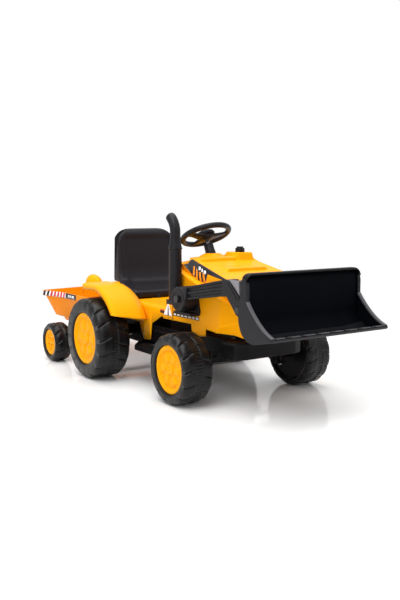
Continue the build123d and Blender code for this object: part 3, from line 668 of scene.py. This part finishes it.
def decals(hood_cover, body_side):
    """Generic marks: a dark band and a barred vent on the hood, a peak and dashes on the side."""
    hood_on, side_on = (hood_cover, "tractor"), (body_side, "tractor")
    bar_heights = (lambda x: interp(x, VENT_LOW) + 0.8, lambda x: interp(x, BAR_TOP))
    for side in BOTH:
        decal("hood_band", (HOOD_BAND_LOW, HOOD_BAND_TOP), side, hood_on, FILM_BLACK, columns=26)
        decal("hood_vent", (VENT_LOW, VENT_TOP), side, hood_on, FILM_BLACK, rows=8, columns=24, lift=0.45)
        slanted_bars("hood_bar", (376, 445), 20.5, 10, 17, bar_heights, side, hood_on, FILM_ORANGE)
        for k, (x, wide) in enumerate(((390, 12), (408, 9), (423, 13))):
            z = 384 - 0.27 * (x - 390)
            edges = [(x + 4, z), (x + 4 + wide, z - 2)], [(x, z + 9.5), (x + wide, z + 7.5)]
            decal(f"hood_mark_{k}", edges, side, hood_on, FILM_WHITE, rows=3, columns=3, lift=1.4)
        decal("side_strip", patch(214, 250, 235, 243), side, side_on, FILM_BLACK, rows=3, columns=8)
        flash = [(215, 243.2), (236, 243.2)], [(219, 246.5), (238, 246.5)]
        decal("side_flash", flash, side, side_on, FILM_RED, rows=2, columns=3, lift=0.5)
        peak = [(236, 231), (288, 231)], [(264, 269), (268, 269)]
        decal("side_peak", peak, side, side_on, FILM_WHITE, rows=12, columns=10, lift=0.7)
        mast = [(261, 231), (269, 231)], [(264, 262), (267, 262)]
        decal("side_mast", mast, side, side_on, FILM_BLACK, rows=6, columns=3, lift=1.0)
        for k in range(7):
            x, z = 298 + 21 * k, 234.5 + 0.2 * k
            shadow, dash = patch(x - 1, x + 18, z, z + 11, 2), patch(x + 2, x + 15, z + 2.2, z + 9, 2)
            decal(f"side_shadow_{k}", shadow, side, side_on, FILM_BLACK, rows=2, columns=3, lift=0.5)
            decal(f"side_dash_{k}", dash, side, side_on, FILM_WHITE, rows=2, columns=3, lift=0.8)


# ---- seat
SEAT_PATH = rounded([(-160, 497), (-146, 496), (-133, 480), (-117, 345), (-104, 313), (-22, 291), (10, 289),
                     (23, 280), (23, 264), (15, 257)], [0, 9, 14, 60, 34, 40, 14, 9, 6, 0], 8)
SEAT_HALF = 121.5
LATCH_Y = -42


def seat_width(z):
    """Half width of the backrest: large round corners at the top."""
    corner = 54
    if z < 497 - corner:
        return SEAT_HALF - 3.0 * smooth(330, 440, z)
    rise = min(1.0, (z - (497 - corner)) / corner)
    return SEAT_HALF - 3.0 - corner * (1 - math.sqrt(max(0.0, 1 - rise * rise)))


def cushion_half(x):
    """Half width of the cushion, which spreads ahead of the backrest."""
    return SEAT_HALF + 16 * smooth(-125, -70, x)


def seat():
    """Moulded seat: recessed back panel and pan inside a raised rim that widens where they meet."""
    path = [Vector((p[0], p[1])) for p in SEAT_PATH]
    fine = []
    for a, b in zip(path, path[1:]):
        for k in range(max(1, int((b - a).length / 5))):
            fine.append(a.lerp(b, k / max(1, int((b - a).length / 5))))
    fine.append(path[-1])
    total = sum((b - a).length for a, b in zip(fine, fine[1:]))
    across = 44
    front, run = [], 0.0
    for i, p in enumerate(fine):
        if i:
            run += (p - fine[i - 1]).length
        along = heading(fine, i)
        outward = Vector((-along.y, along.x))
        half = seat_width(p.y) if p.y > 330 else cushion_half(p.x)
        joint = math.exp(-((run - 205) / 62) ** 2)
        rim = 21 + 20 * joint
        top_gap = run - 26
        lip_gap = total - run - 40
        row = []
        for k in range(across + 1):
            u = math.sin((k / across - 0.5) * math.pi)
            y = u * half
            gap = min(half - abs(y), top_gap)
            dish = smooth(rim - 12, rim + 9, gap) * smooth(-14, 16, lip_gap)
            depth = 5.0 * dish + 2.5 * dish * (1 - (y / half) ** 2)
            roll = max(0.0, 1 - (half - abs(y)) / 9.0)
            depth += 9.0 * (1 - math.sqrt(max(0.0, 1 - roll * roll)))
            row.append((p.x - outward.x * depth, y, p.y - outward.y * depth))
        front.append(row)
    back_path = rounded([(-160, 496), (-170, 488), (-173.5, 468), (-167.5, 316), (-165, 306.5), (-112, 306.5),
                         (-21, 257.5), (14, 257.2)], 6, 4)
    back = []
    for q in back_path:
        half = seat_width(q[1]) if q[1] > 330 else cushion_half(q[0])
        half -= 3.0
        back.append([(q[0], math.sin((k / across - 0.5) * math.pi) * half, q[1]) for k in range(across + 1)])
    verts, faces = join(skin(front), skin(back))
    offset = len(front) * (across + 1)
    last_f, last_b = len(front) - 1, len(back) - 1
    width = across + 1
    for k in range(across):
        faces.append((k, k + 1, offset + k + 1, offset + k))
        faces.append((last_f * width + k, last_f * width + k + 1, offset + last_b * width + k + 1,
                      offset + last_b * width + k))
    for k in (0, across):
        loop = [i * width + k for i in range(len(front))]
        loop += [offset + i * width + k for i in reversed(range(len(back)))]
        faces.append(tuple(loop))
    piece("seat_shell", (verts, faces), "saddle", SEAT_BLACK, ["seat"], sharp=40)
    latch = rounded([(15, 246), (24, 246), (25.5, 262), (22, 271), (15, 271)], 3, 3, closed=True)
    piece("seat_latch", slab(latch, LATCH_Y - 8, LATCH_Y + 8), "saddle", BLACK, bevel=1.2)


# ---- steering
STEER_CENTRE = Vector((256, 0, 484))
STEER_UP = Vector((-math.sin(math.radians(26)), 0, math.cos(math.radians(26))))
STEER_BACK = Vector((-STEER_UP.z, 0, STEER_UP.x))


def on_wheel(a, b, c):
    """A point in the steering wheel's own frame: a to the rider, b across, c up the column."""
    return STEER_CENTRE + STEER_BACK * a + Vector((0, -b, 0)) + STEER_UP * c


def steering():
    ring = []
    for i in range(96):
        a = 2 * math.pi * i / 96
        ring.append(on_wheel(77 * math.cos(a), 77 * math.sin(a), 0))
    rim = hoop(ring, 9.0, 22)
    spokes = []
    for degrees in (0, 98, 262):
        a = math.radians(degrees)
        rows = []
        for t in spread(0, 1, 0.1):
            r = lerp(12, 75, t)
            wide = lerp(19, 11.5, smooth(0, 0.7, t)) + 4.5 * smooth(0.75, 1.0, t)
            thick = lerp(6.5, 4.2, t)
            c = lerp(-7, -1.5, smooth(0.1, 1, t))
            row = []
            for k in range(16):
                q = 2 * math.pi * k / 16
                s = math.copysign(abs(math.cos(q)) ** 0.6, math.cos(q)) * wide
                h = math.copysign(abs(math.sin(q)) ** 0.6, math.sin(q)) * thick
                row.append(on_wheel(r * math.cos(a) - s * math.sin(a), r * math.sin(a) + s * math.cos(a), c + h))
            rows.append(row)
        spokes.append(solid(rows))
    hub = lathe([(0, -18)] + rounded([(17, -18), (24, -14), (25, -2.5), (0, -2)], 3, 3),
                STEER_CENTRE, STEER_UP, 48)
    piece("steering_rim", join(rim, *spokes, hub), "steering", BLACK, ["steering_wheel"], sharp=40)
    pad = [(0, -1.5)] + rounded([(29, -3), (31, 3), (27, 9), (18, 10.5), (15.7, 10.4), (15.7, 0.5),
                                                       (0, 0.5)], [2.2, 2.2, 2.2, 2, 0.5, 0.5, 0], 4)
    piece("steering_centre", lathe(pad, STEER_CENTRE, STEER_UP, 56), "steering", SEAT_BLACK, ["steering_pad"],
          sharp=45)
    button = [(0, 7)] + rounded([(15, 7), (15, 11), (9, 12.4), (0, 12.8)], 2, 4)
    piece("horn_cap", lathe(button, STEER_CENTRE, STEER_UP, 48), "horn", SEAT_BLACK, ["horn_button"], sharp=45)
    boot = rounded([(6.3, -96), (18.5, -94), (19, -84), (17, -78), (16.4, -66), (17.2, -62), (16, -58),
                                           (15.4, -34), (6.3, -31)], 2, 3)
    piece("column_sleeve", lathe(boot, STEER_CENTRE, STEER_UP, 40), "tractor", BLACK, ["column_boot"], sharp=45)


# ---- exhaust
def exhaust():
    """Silencer can, necked stack and an open bend that faces the rider."""
    x, y, top = 345, -173, 496.5
    bend, wall, bore = 55.0, 16, 12.6
    can = rounded([(0, 292), (20.5, 292), (20.3, 300), (19.4, 446), (21.6, 447.5), (21.8, 450.5), (14, 451),
                   (14, 400), (0, 400)], [0, 2, 1, 1, 1, 1, 1, 1, 0], 3)
    piece("exhaust_can", lathe(can, (x, y, 0), (0, 0, 1), 56), "tractor", BLACK, ["exhaust_silencer"],
          sharp=40)
    path = [(x, y, z) for z in (451.2, 453, 456, 460, 465, 472, 480, 488, top)]
    for k in range(1, 15):
        a = math.radians(60) * k / 14
        path.append((x - bend + bend * math.cos(a), y, top + bend * math.sin(a)))
    radii = [20.4, 20.0, 19.4, 18.6, 17.6, 16.8, 16.3] + [wall] * (len(path) - 8) + [15.2]
    inside = path[3:]
    rows = tube_rows(path, radii) + tube_rows(inside, [bore] * len(inside))[::-1]
    piece("exhaust_stack", skin(rows, wrap_cols=True), "tractor", BLACK, ["exhaust_pipe"], sharp=50)


def tube_rows(points, radii, count=40):
    """Rings along a path that lies in a plane of constant Y."""
    pts = [Vector(p) for p in points]
    rows = []
    for i, p in enumerate(pts):
        v = Vector((0, 1, 0))
        u = v.cross(heading(pts, i))
        rows.append([p + out for out in ring_of(u, v, radii[i], count)])
    return rows


# ---- loader
ARM_IN, ARM_OUT = 160, 200
LIFT_PIVOT = (407, 0, 301)
TILT_PIVOT = (700, 0, 300)
BEAM_SECTION = [(ARM_IN, -1), (ARM_OUT, -1), (ARM_OUT, -0.72), (194.5, -0.6), (194.5, -0.26), (198.5, -0.16),
                (198.5, 0.16), (194.5, 0.26), (194.5, 0.6), (ARM_OUT, 0.72), (ARM_OUT, 1), (ARM_IN, 1)]
LEG = [(628, 376), (649, 379), (677, 357), (700, 337), (713, 312), (713, 292), (702, 284), (694, 285),
       (649, 332), (626, 330)]


def loader_arm(side):
    """Ribbed beam, cranked leg and the bosses round both pivots."""
    hand = SIDE_NAME[side]
    arm = [f"loader_arm_{hand}"]

    def part(name, shape, nodes=(), finish=BLACK, **look):
        piece(f"arm_{name}_{hand}", flipped(shape, side), "loader", finish, nodes, **look)

    rows = []
    for t in spread(0, 1, 0.1):
        x = lerp(424, 640, t)
        upper, under = lerp(337, 378.2, t), lerp(299.5, 332.5, t)
        rows.append([(x, y, lerp(under, upper, (h + 1) / 2)) for y, h in BEAM_SECTION])
    part("beam", solid(rows), arm, bevel=1.6)
    part("leg", slab(rounded(LEG, 5, 3, closed=True), ARM_IN, 200.6), arm, bevel=2.6)
    # The gusset is painted grey as light falling on it.
    part("gusset", slab([(651, 378.3), (696, 378.3), (699, 339), (678, 358)], 191, 195), finish=SHEET_LIT_GREY,
         bevel=0.8)
    rib = [(644, 368), (653, 369), (676, 350), (695, 330), (691, 326), (672, 344), (650, 361)]
    part("panel", slab(rounded(rib, 4, 3, closed=True), 199, 202.4), bevel=1.0)
    boss = rounded([(0, 158.5), (38, 158.5), (38, 202), (34, 206), (26, 206), (24.5, 203), (13, 203), (0, 203)],
                   [0, 2, 3, 2, 2, 2, 2, 0], 3)
    part("boss", lathe(boss, LIFT_PIVOT, (0, 1, 0), 56), arm, sharp=40)
    web = rounded([(425, 334), (449, 340), (449, 303), (425, 299)], 3, 2, closed=True)
    part("collar", slab(web, 158.5, 204), bevel=3)
    end = rounded([(0, ARM_IN), (15.5, ARM_IN), (15.5, 200.5), (12, 201.5), (0, 201.5)], [0, 2, 1.5, 1, 0], 3)
    part("end", lathe(end, TILT_PIVOT, (0, 1, 0), 40), sharp=40)


BUCKET_OUT = [(725.5, 401), (723.5, 330), (725.5, 262), (740, 236), (769, 219.5), (853, 235), (854.5, 238.5)]
BUCKET_IN = [(853, 241.5), (769, 226), (745, 240), (731, 265), (729, 330), (732, 401)]
BUCKET_HALF = 208.6
FLARE_START = 136
CORNER = 22


def bucket_end():
    """Outline of an end plate with its flange, round at the top corner."""
    points = [(724, 384), (719, 340), (709, 284), (722, 244), (746, 224), (775, 219), (853, 236), (853, 245), (832, 252),
              (810, 264), (790, 280), (768, 301), (747, 326), (747, 360), (743, 384), (733, 388)]
    return rounded(points, [6, 30, 40, 30, 24, 20, 2, 3, 30, 30, 30, 30, 8, 12, 7, 5], 5, closed=True)


def corner_drop(y):
    """Height lost to the rounded top corners of the bucket at a given place across it."""
    t = min(1.0, max(0.0, (abs(y) - BUCKET_HALF + CORNER) / CORNER))
    return CORNER * (1 - math.sqrt(1 - t * t))


def bucket():
    """Curved wall with a separate lining that carries painted shade at the back and painted light on the floor near the
    lip, two end plates, a rolled top edge painted darker as shade and a toothed lip whose teeth carry painted
    highlight.
    """
    half = BUCKET_HALF
    outer = rounded(BUCKET_OUT, [0, 60, 30, 22, 22, 2, 0], 8)
    inner = rounded(BUCKET_IN, [0, 24, 22, 30, 60, 0], 8)
    rows = [[(p[0], y, p[1] - corner_drop(y) * smooth(340, 401, p[1])) for p in outer + inner]
            for y in spread(-half + 3.5, half - 3.5, 5)]
    piece("bucket_wall", solid(rows), "scoop", SCOOP, ["bucket"], sharp=40)
    profile = rounded([(846, 242.4), (769, 227.4), (746, 241), (732.4, 265.5), (730.4, 330), (733.2, 396)],
                      [0, 24, 22, 30, 60, 0], 8)
    liner = []
    for i, p in enumerate(profile):
        along = heading(profile, i)
        inward = Vector((along.y, -along.x))
        reach = 11.0 * smooth(0, 7, i) * (1 - smooth(392, 398, p.y))
        row = []
        for y in spread(-half + 5, half - 5, 8):
            out = inward * reach * max(0.0, (abs(y) - FLARE_START) / (half - FLARE_START))
            z = p.y + out.y
            row.append((p.x + out.x, y, z - corner_drop(y) * smooth(340, 396, z)))
        liner.append(row)
    ahead = sum(1 for p in profile if p.x > 756)
    # Floor of the lining near the lip: painted light.
    piece("bucket_lit_floor", skin(liner[:ahead + 1]), "scoop", SCOOP_LIT_FLOOR, thickness=0.5, sharp=14)
    # Back and walls of the lining: painted shade.
    piece("bucket_shade_lining", skin(liner[ahead:]), "scoop", SCOOP_SHADE, thickness=0.5, sharp=14)
    for side in BOTH:
        bucket_side(side)
    lip = rounded([(726, 401.4), (743, 401.4), (747.5, 398), (746, 394.5), (736, 395.5), (726, 392)], 2.4, 3,
                  closed=True)
    rows = [[(p[0], y, p[1] - corner_drop(y)) for p in lip] for y in spread(-half + 0.6, half - 0.6, 4)]
    # The rolled top edge carries painted shade.
    piece("bucket_top_rim", solid(rows), "scoop", SCOOP_TOP_SHADE, ["bucket"], sharp=40)
    tooth = [(834, 240.0), (852, 243.2), (852, 246.4), (834, 243.2)]
    teeth = [slab(tooth, y - 15, y + 15) for y in range(-178, 180, 51)]
    # The teeth carry painted highlight.
    piece("bucket_teeth", join(*teeth), "scoop", SCOOP_HIGHLIGHT, bevel=0.7, segments=2)
    edge = tube([(853.2, y, 240.0) for y in spread(-half + 1, half - 1, 104)], 2.0, 12)
    piece("bucket_edge", edge, "scoop", SCOOP, sharp=60)


def bucket_side(side):
    """End plate with a sheet of painted shade on its inner face, its front strip painted pale grey as a highlight, its
    flange and the lug that takes the bucket pin.
    """
    half = BUCKET_HALF

    def part(name, shape, nodes=(), finish=SCOOP, **look):
        piece(f"bucket_{name}_{SIDE_NAME[side]}", flipped(shape, side), "scoop", finish, nodes, **look)

    cheek = bucket_end()
    part("cheek", slab(cheek, half - 5, half), ["bucket"], bevel=1.4)
    # A thin sheet on the inner face of the end plate, painted near black as shade.
    inside = [(lerp(p[0], 762, 0.03), lerp(p[1], 300, 0.03)) for p in cheek]
    part("inside", slab(inside, half - 5.6, half - 5.1), finish=SCOOP_SHADE)
    front = rounded([(746.5, 328), (768, 302), (790, 281), (811, 264.5), (832, 252.5), (851, 245.5)], 30, 6)
    ring = rounded([(half - 11, -4.5), (half - 11, 1.4), (half, 1.4), (half, -4.5)], 1.2, 3, closed=True)
    rows = []
    for i, p in enumerate(front):
        along = heading(front, i)
        rows.append([(p.x - along.y * h, y, p.y + along.x * h) for y, h in ring])
    # The strip is painted pale grey as a highlight along the front edge.
    part("strip", solid(rows), finish=SCOOP_HIGHLIGHT, sharp=40)
    flange = [(743, 329), (747.8, 329), (747.6, 366), (745, 378), (741, 378), (743, 366)]
    part("flange", slab(flange, half - 11, half - 0.4), bevel=1.8)
    lug = rounded([(727, 284), (700, 284), (684, 300), (700, 316), (727, 316)], [1, 12, 14, 12, 1], 5, closed=True)
    part("lug", slab(lug, 138.5, 155.5), ["bucket"], bevel=1.5)


def loader_middle():
    fold = [(656, 377), (664, 373), (714, 327), (711, 323), (661, 368.5), (655, 372)]
    sheet = slab(rounded(fold, 2.5, 3, closed=True), -160, 160)
    ribs = [slab([(662, 368), (707, 325), (703, 318), (662, 360)], y - 3, y + 3) for y in (-105, -35, 35, 105)]
    # The cross sheet is painted grey as light falling on it.
    piece("cross_sheet_painted_light", join(sheet, *ribs), "loader", SHEET_LIT_GREY, ["loader_cross_plate"], bevel=1.0)


# ---- bumper
def bumper_plan(inset, z):
    """Plan of the bumper: flat front, a facet at each corner and sides that run back to the subframe."""
    ring = [(540, -137 + inset), (588 - inset * 0.5, -122 + inset), (600 - inset, -92 + inset * 0.4),
            (600 - inset, 92 - inset * 0.4), (588 - inset * 0.5, 122 - inset), (540, 137 - inset)]
    return [(p[0], p[1], z) for p in rounded(ring, [0, 6, 6, 6, 6, 0], 4)]


def bumper():
    levels = ((137, 3.4), (138, 1.4), (141, 0.2), (176, 0.0), (177.5, -1.2), (182, -1.2),
              (184.4, 0.4), (185, 3.0), (185, 30.0))
    rows = [bumper_plan(inset, z) for z, inset in levels]
    piece("bumper_shell", skin(rows), "tractor", SHADE_BLACK, ["front_bumper"], thickness=3, sharp=40)
    ribs = [crate(597.5, 601.2, y - 1.6, y + 1.6, 143, 174) for y in (-84, -50, -17, 17, 50, 84)]
    ribs += [crate(597.5, 601.0, a, b, 142, 144.4) for a, b in ((-88, -4), (4, 88))]
    ribs += [crate(597.5, 601.0, a, b, 172.6, 175) for a, b in ((-88, -4), (4, 88))]
    piece("bumper_ribs", join(*ribs), "tractor", SHADE_BLACK, bevel=0.8, segments=2)
    piece("bumper_web", crate(540.5, 544, -110, 110, 139, 183), "tractor", SHADE_BLACK, bevel=0.8)


# ---- trailer
def tub_plan(inset, z):
    """Plan outline of the tub: bowed tail, flared rear corners, scooped front."""
    rear, half = -545.5 + inset, 227.8 - inset
    flare = 36 - 0.75 * min(inset, 27)
    left = [(rear, 80 - inset / 3), (rear + 33, half + flare), (rear + 110, half + 12), (rear + 190, half),
            (-188 - inset, half), (-176 - inset, half - 10), (-200 - inset, 145 - inset), (-204 - inset, 100 - inset)]
    radii = [60, 11, 70, 60, 14, 10, 20, 30]
    ring = left + [(x, -y) for x, y in reversed(left)]
    return [(p[0], p[1], z) for p in rounded(ring, radii + radii[::-1], 5, closed=True)]


def trailer():
    rows = [tub_plan(60, 150.2), tub_plan(27, 150.2), tub_plan(24.5, 153)]
    rows += [tub_plan(lerp(24, 6.5, k / 6), lerp(157, 226, k / 6)) for k in range(7)]
    rows += [tub_plan(3.5, 227.8), tub_plan(0.8, 228.4), tub_plan(0, 231), tub_plan(0, 247), tub_plan(1.0, 249.6),
             tub_plan(2.6, 250), tub_plan(4.4, 249.4), tub_plan(5.4, 246)]
    rows += [tub_plan(lerp(6, 29, k / 6), lerp(242, 157, k / 6)) for k in range(7)]
    rows += [tub_plan(33, 154.4), tub_plan(60, 154)]
    tub = piece("tub_shell", solid(rows), "trailer", TUB_SHADED_YELLOW, ["trailer_tub"], sharp=40)
    rows = []
    for z, inset in ((152, -3), (143, 0), (131, 3), (128, 8)):
        ring = rounded([(-478 + inset, 190 - inset), (-262 - inset, 190 - inset), (-262 - inset, -190 + inset),
                        (-478 + inset, -190 + inset)], 14, 4, closed=True)
        rows.append([(p[0], p[1], z) for p in ring])
    piece("tub_sump", solid(rows), "trailer", TUB_SHADED_YELLOW, sharp=40)
    flutes = []
    for side in BOTH:
        for k in range(5):
            x = -470 + 58 * k
            path = [at_side(x + 2 * t, z) for t, z in ((0, 158), (1, 180), (2, 203), (3, 222))]
            flutes.append(flipped(tube(path, 3.8, 10), side))
    for k in range(5):
        y = -130 + 65 * k
        bow = 0.19 * max(0, abs(y) - 76)
        flutes.append(tube([(-525 + bow, y, 160), (-535 + bow, y, 200), (-540 + bow, y, 222)], 3.6, 10))
    piece("tub_flutes", join(*flutes), "trailer", TUB_SHADED_YELLOW, sharp=60)
    return tub


def at_side(x, z):
    """A point on the tub's left side wall."""
    inset = interp(z, [(157, 24), (226, 6.5)])
    flare = (-545.5 + inset + 33, 263.8 - 0.75 * inset)
    half = interp(x, [flare, (-435.5, 239.8), (-355.5, 227.8), (-188, 227.8)]) - inset
    return (x, half - 1.4, z)


def tub_decals(tub):
    """Striped band and a dark block along the rim of each side."""
    on = (tub, "trailer")
    heights = (lambda x: 229.6, lambda x: 249.0)
    for side in BOTH:
        decal("tub_band", patch(-508, -350, 229.6, 249), side, on, FILM_WHITE, rows=3, columns=24)
        decal("tub_block", patch(-357, -268, 229.4, 249.2), side, on, FILM_BLACK, rows=3, columns=12, lift=0.6)
        slanted_bars("tub_dark", (-505, -470), 21, 11, -7, heights, side, on, FILM_BLACK)
        slanted_bars("tub_bar", (-463, -362), 21, 11, -7, heights, side, on, FILM_RED)
        for k, (x, wide) in enumerate(((-336, 14), (-316, 10), (-300, 16))):
            edges = patch(x, x + wide, 234.5, 243.5, 2)
            decal(f"tub_mark_{k}", edges, side, on, FILM_WHITE, rows=2, columns=3, lift=0.95)


# ---- CAD nodes that stay
KEPT = {
    BLACK: ["grille", "dash_panel", "steering_support", "filler_cap", "loader_bracket_left", "loader_bracket_right",
            "accelerator_pedal", "trailer_frame"],
    SHADE_BLACK: ["chassis_pan", "front_subframe", "front_axle_beam", "footrest_left", "footrest_right",
                  "hitch_bracket", "knuckle_left", "knuckle_right", "gearmotor_left", "gearmotor_right"],
    STEEL: ["kingpins", "rear_axle", "rear_axle_nuts", "trailer_axle", "steering_column", "hitch_pin"],
    BLACK_STEEL: ["tie_rod", "loader_pivot_bolts", "bucket_pins"],
    RED: ["power_button", "direction_switch"],
    LENS: ["headlights"],
    INSIDE: ["battery", "control_box", "wiring_loom"],
}


def dress_cad():
    for (material, slot), names in KEPT.items():
        for name in names:
            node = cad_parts[name]
            node.data.materials.clear()
            node.data.materials.append(material)
            weld = node.modifiers.new("weld", "WELD")
            weld.merge_threshold = 0.00002
            round_edges(node, 0.9, 2)


# ---- stage
def stage():
    size = 14.0
    mesh = bpy.data.meshes.new("floor")
    mesh.from_pydata([(-size, -size, 0), (size, -size, 0), (size, size, 0), (-size, size, 0)], [], [(0, 1, 2, 3)])
    floor = bpy.data.objects.new("floor", mesh)
    bpy.context.scene.collection.objects.link(floor)
    material = bpy.data.materials.new("floor")
    material.use_nodes = True
    tree = material.node_tree
    shader = tree.nodes["Principled BSDF"]
    place = add(tree, "TexCoord").outputs["Object"]
    cloud = add(tree, "TexNoise", Vector=place, Scale=1.3, Detail=3.0).outputs["Fac"]
    pale = blend_colour(tree, cloud, (0.94, 0.94, 0.94, 1), (0.97, 0.97, 0.97, 1))
    tree.links.new(pale, shader.inputs["Base Color"])
    shader.inputs["Roughness"].default_value = 0.08
    shader.inputs["Specular IOR Level"].default_value = 0.6
    distance = add(tree, "VectorMath", {"operation": "LENGTH"})
    tree.links.new(place, distance.inputs[0])
    away = ramp(tree, distance.outputs["Value"], 0.85, 1.7)
    glow = add(tree, "Emission", Strength=1.0)
    fade = tree.nodes.new("ShaderNodeMixShader")
    tree.links.new(away, fade.inputs[0])
    tree.links.new(shader.outputs[0], fade.inputs[1])
    tree.links.new(glow.outputs[0], fade.inputs[2])
    tree.links.new(fade.outputs[0], tree.nodes["Material Output"].inputs["Surface"])
    mesh.materials.append(material)
    studio()
    lights = (
        ("key", (0.9, -1.4, 2.6), 2.2, 50.0),
        ("top", (-0.3, 0.2, 3.0), 2.6, 44.0),
        ("side", (1.3, -2.8, 1.0), 1.8, 7.0),
        ("fill", (2.6, 0.9, 1.6), 1.8, 6.0),
    )
    for name, place, wide, power in lights:
        lamp = bpy.data.lights.new(name, "AREA")
        lamp.shape, lamp.size, lamp.energy = "DISK", wide, power
        obj = bpy.data.objects.new(name, lamp)
        obj.location = place
        obj.rotation_euler = (Vector((0.1, 0, 0.2)) - Vector(place)).to_track_quat("-Z", "Y").to_euler()
        bpy.context.scene.collection.objects.link(obj)


def studio():
    """Pure white backdrop; the light it gives is brighter from above than from the sides."""
    world = bpy.data.worlds.new("studio")
    bpy.context.scene.world = world
    world.use_nodes = True
    tree = world.node_tree
    seen = tree.nodes["Background"]
    seen.inputs["Color"].default_value = (1.0, 1.0, 1.0, 1)
    seen.inputs["Strength"].default_value = 1.0
    up = add(tree, "SeparateXYZ", Vector=add(tree, "TexCoord").outputs["Generated"]).outputs["Z"]
    strength = add(tree, "MapRange", Value=up, From_Min=-0.1, From_Max=0.9)
    strength.inputs["To Min"].default_value = 0.56
    strength.inputs["To Max"].default_value = 1.15
    lit = add(tree, "Background", Color=(1.0, 1.0, 1.0, 1.0), Strength=strength.outputs[0])
    choose = tree.nodes.new("ShaderNodeMixShader")
    tree.links.new(add(tree, "LightPath").outputs["Is Camera Ray"], choose.inputs[0])
    tree.links.new(lit.outputs[0], choose.inputs[1])
    tree.links.new(seen.outputs[0], choose.inputs[2])
    tree.links.new(choose.outputs[0], tree.nodes["World Output"].inputs["Surface"])


def camera():
    """Eye level of a standing child, three quarters from the front right."""
    turn, pitch = math.radians(56.13), math.radians(7.02)
    data = bpy.data.cameras.new("camera")
    data.lens, data.sensor_width = 44.0, 36.0
    obj = bpy.data.objects.new("camera", data)
    obj.location = at((2242.4, -1355.9, 565.6))
    look = Vector((-math.sin(turn) * math.cos(pitch), math.cos(turn) * math.cos(pitch), -math.sin(pitch)))
    obj.rotation_euler = look.to_track_quat("-Z", "Y").to_euler()
    bpy.context.scene.collection.objects.link(obj)
    bpy.context.scene.camera = obj
    bpy.context.scene.view_settings.view_transform = "Standard"


# ---- build
wheels()
tunnel()
body_nose = nose()
for side in BOTH:
    fender(side)
    fender_hump(side)
hood_cover = hood()
seat()
steering()
exhaust()
for side in BOTH:
    loader_arm(side)
loader_middle()
bucket()
bumper()
tub = trailer()
decals(hood_cover, body_nose)
tub_decals(tub)
dress_cad()
stage()
camera()
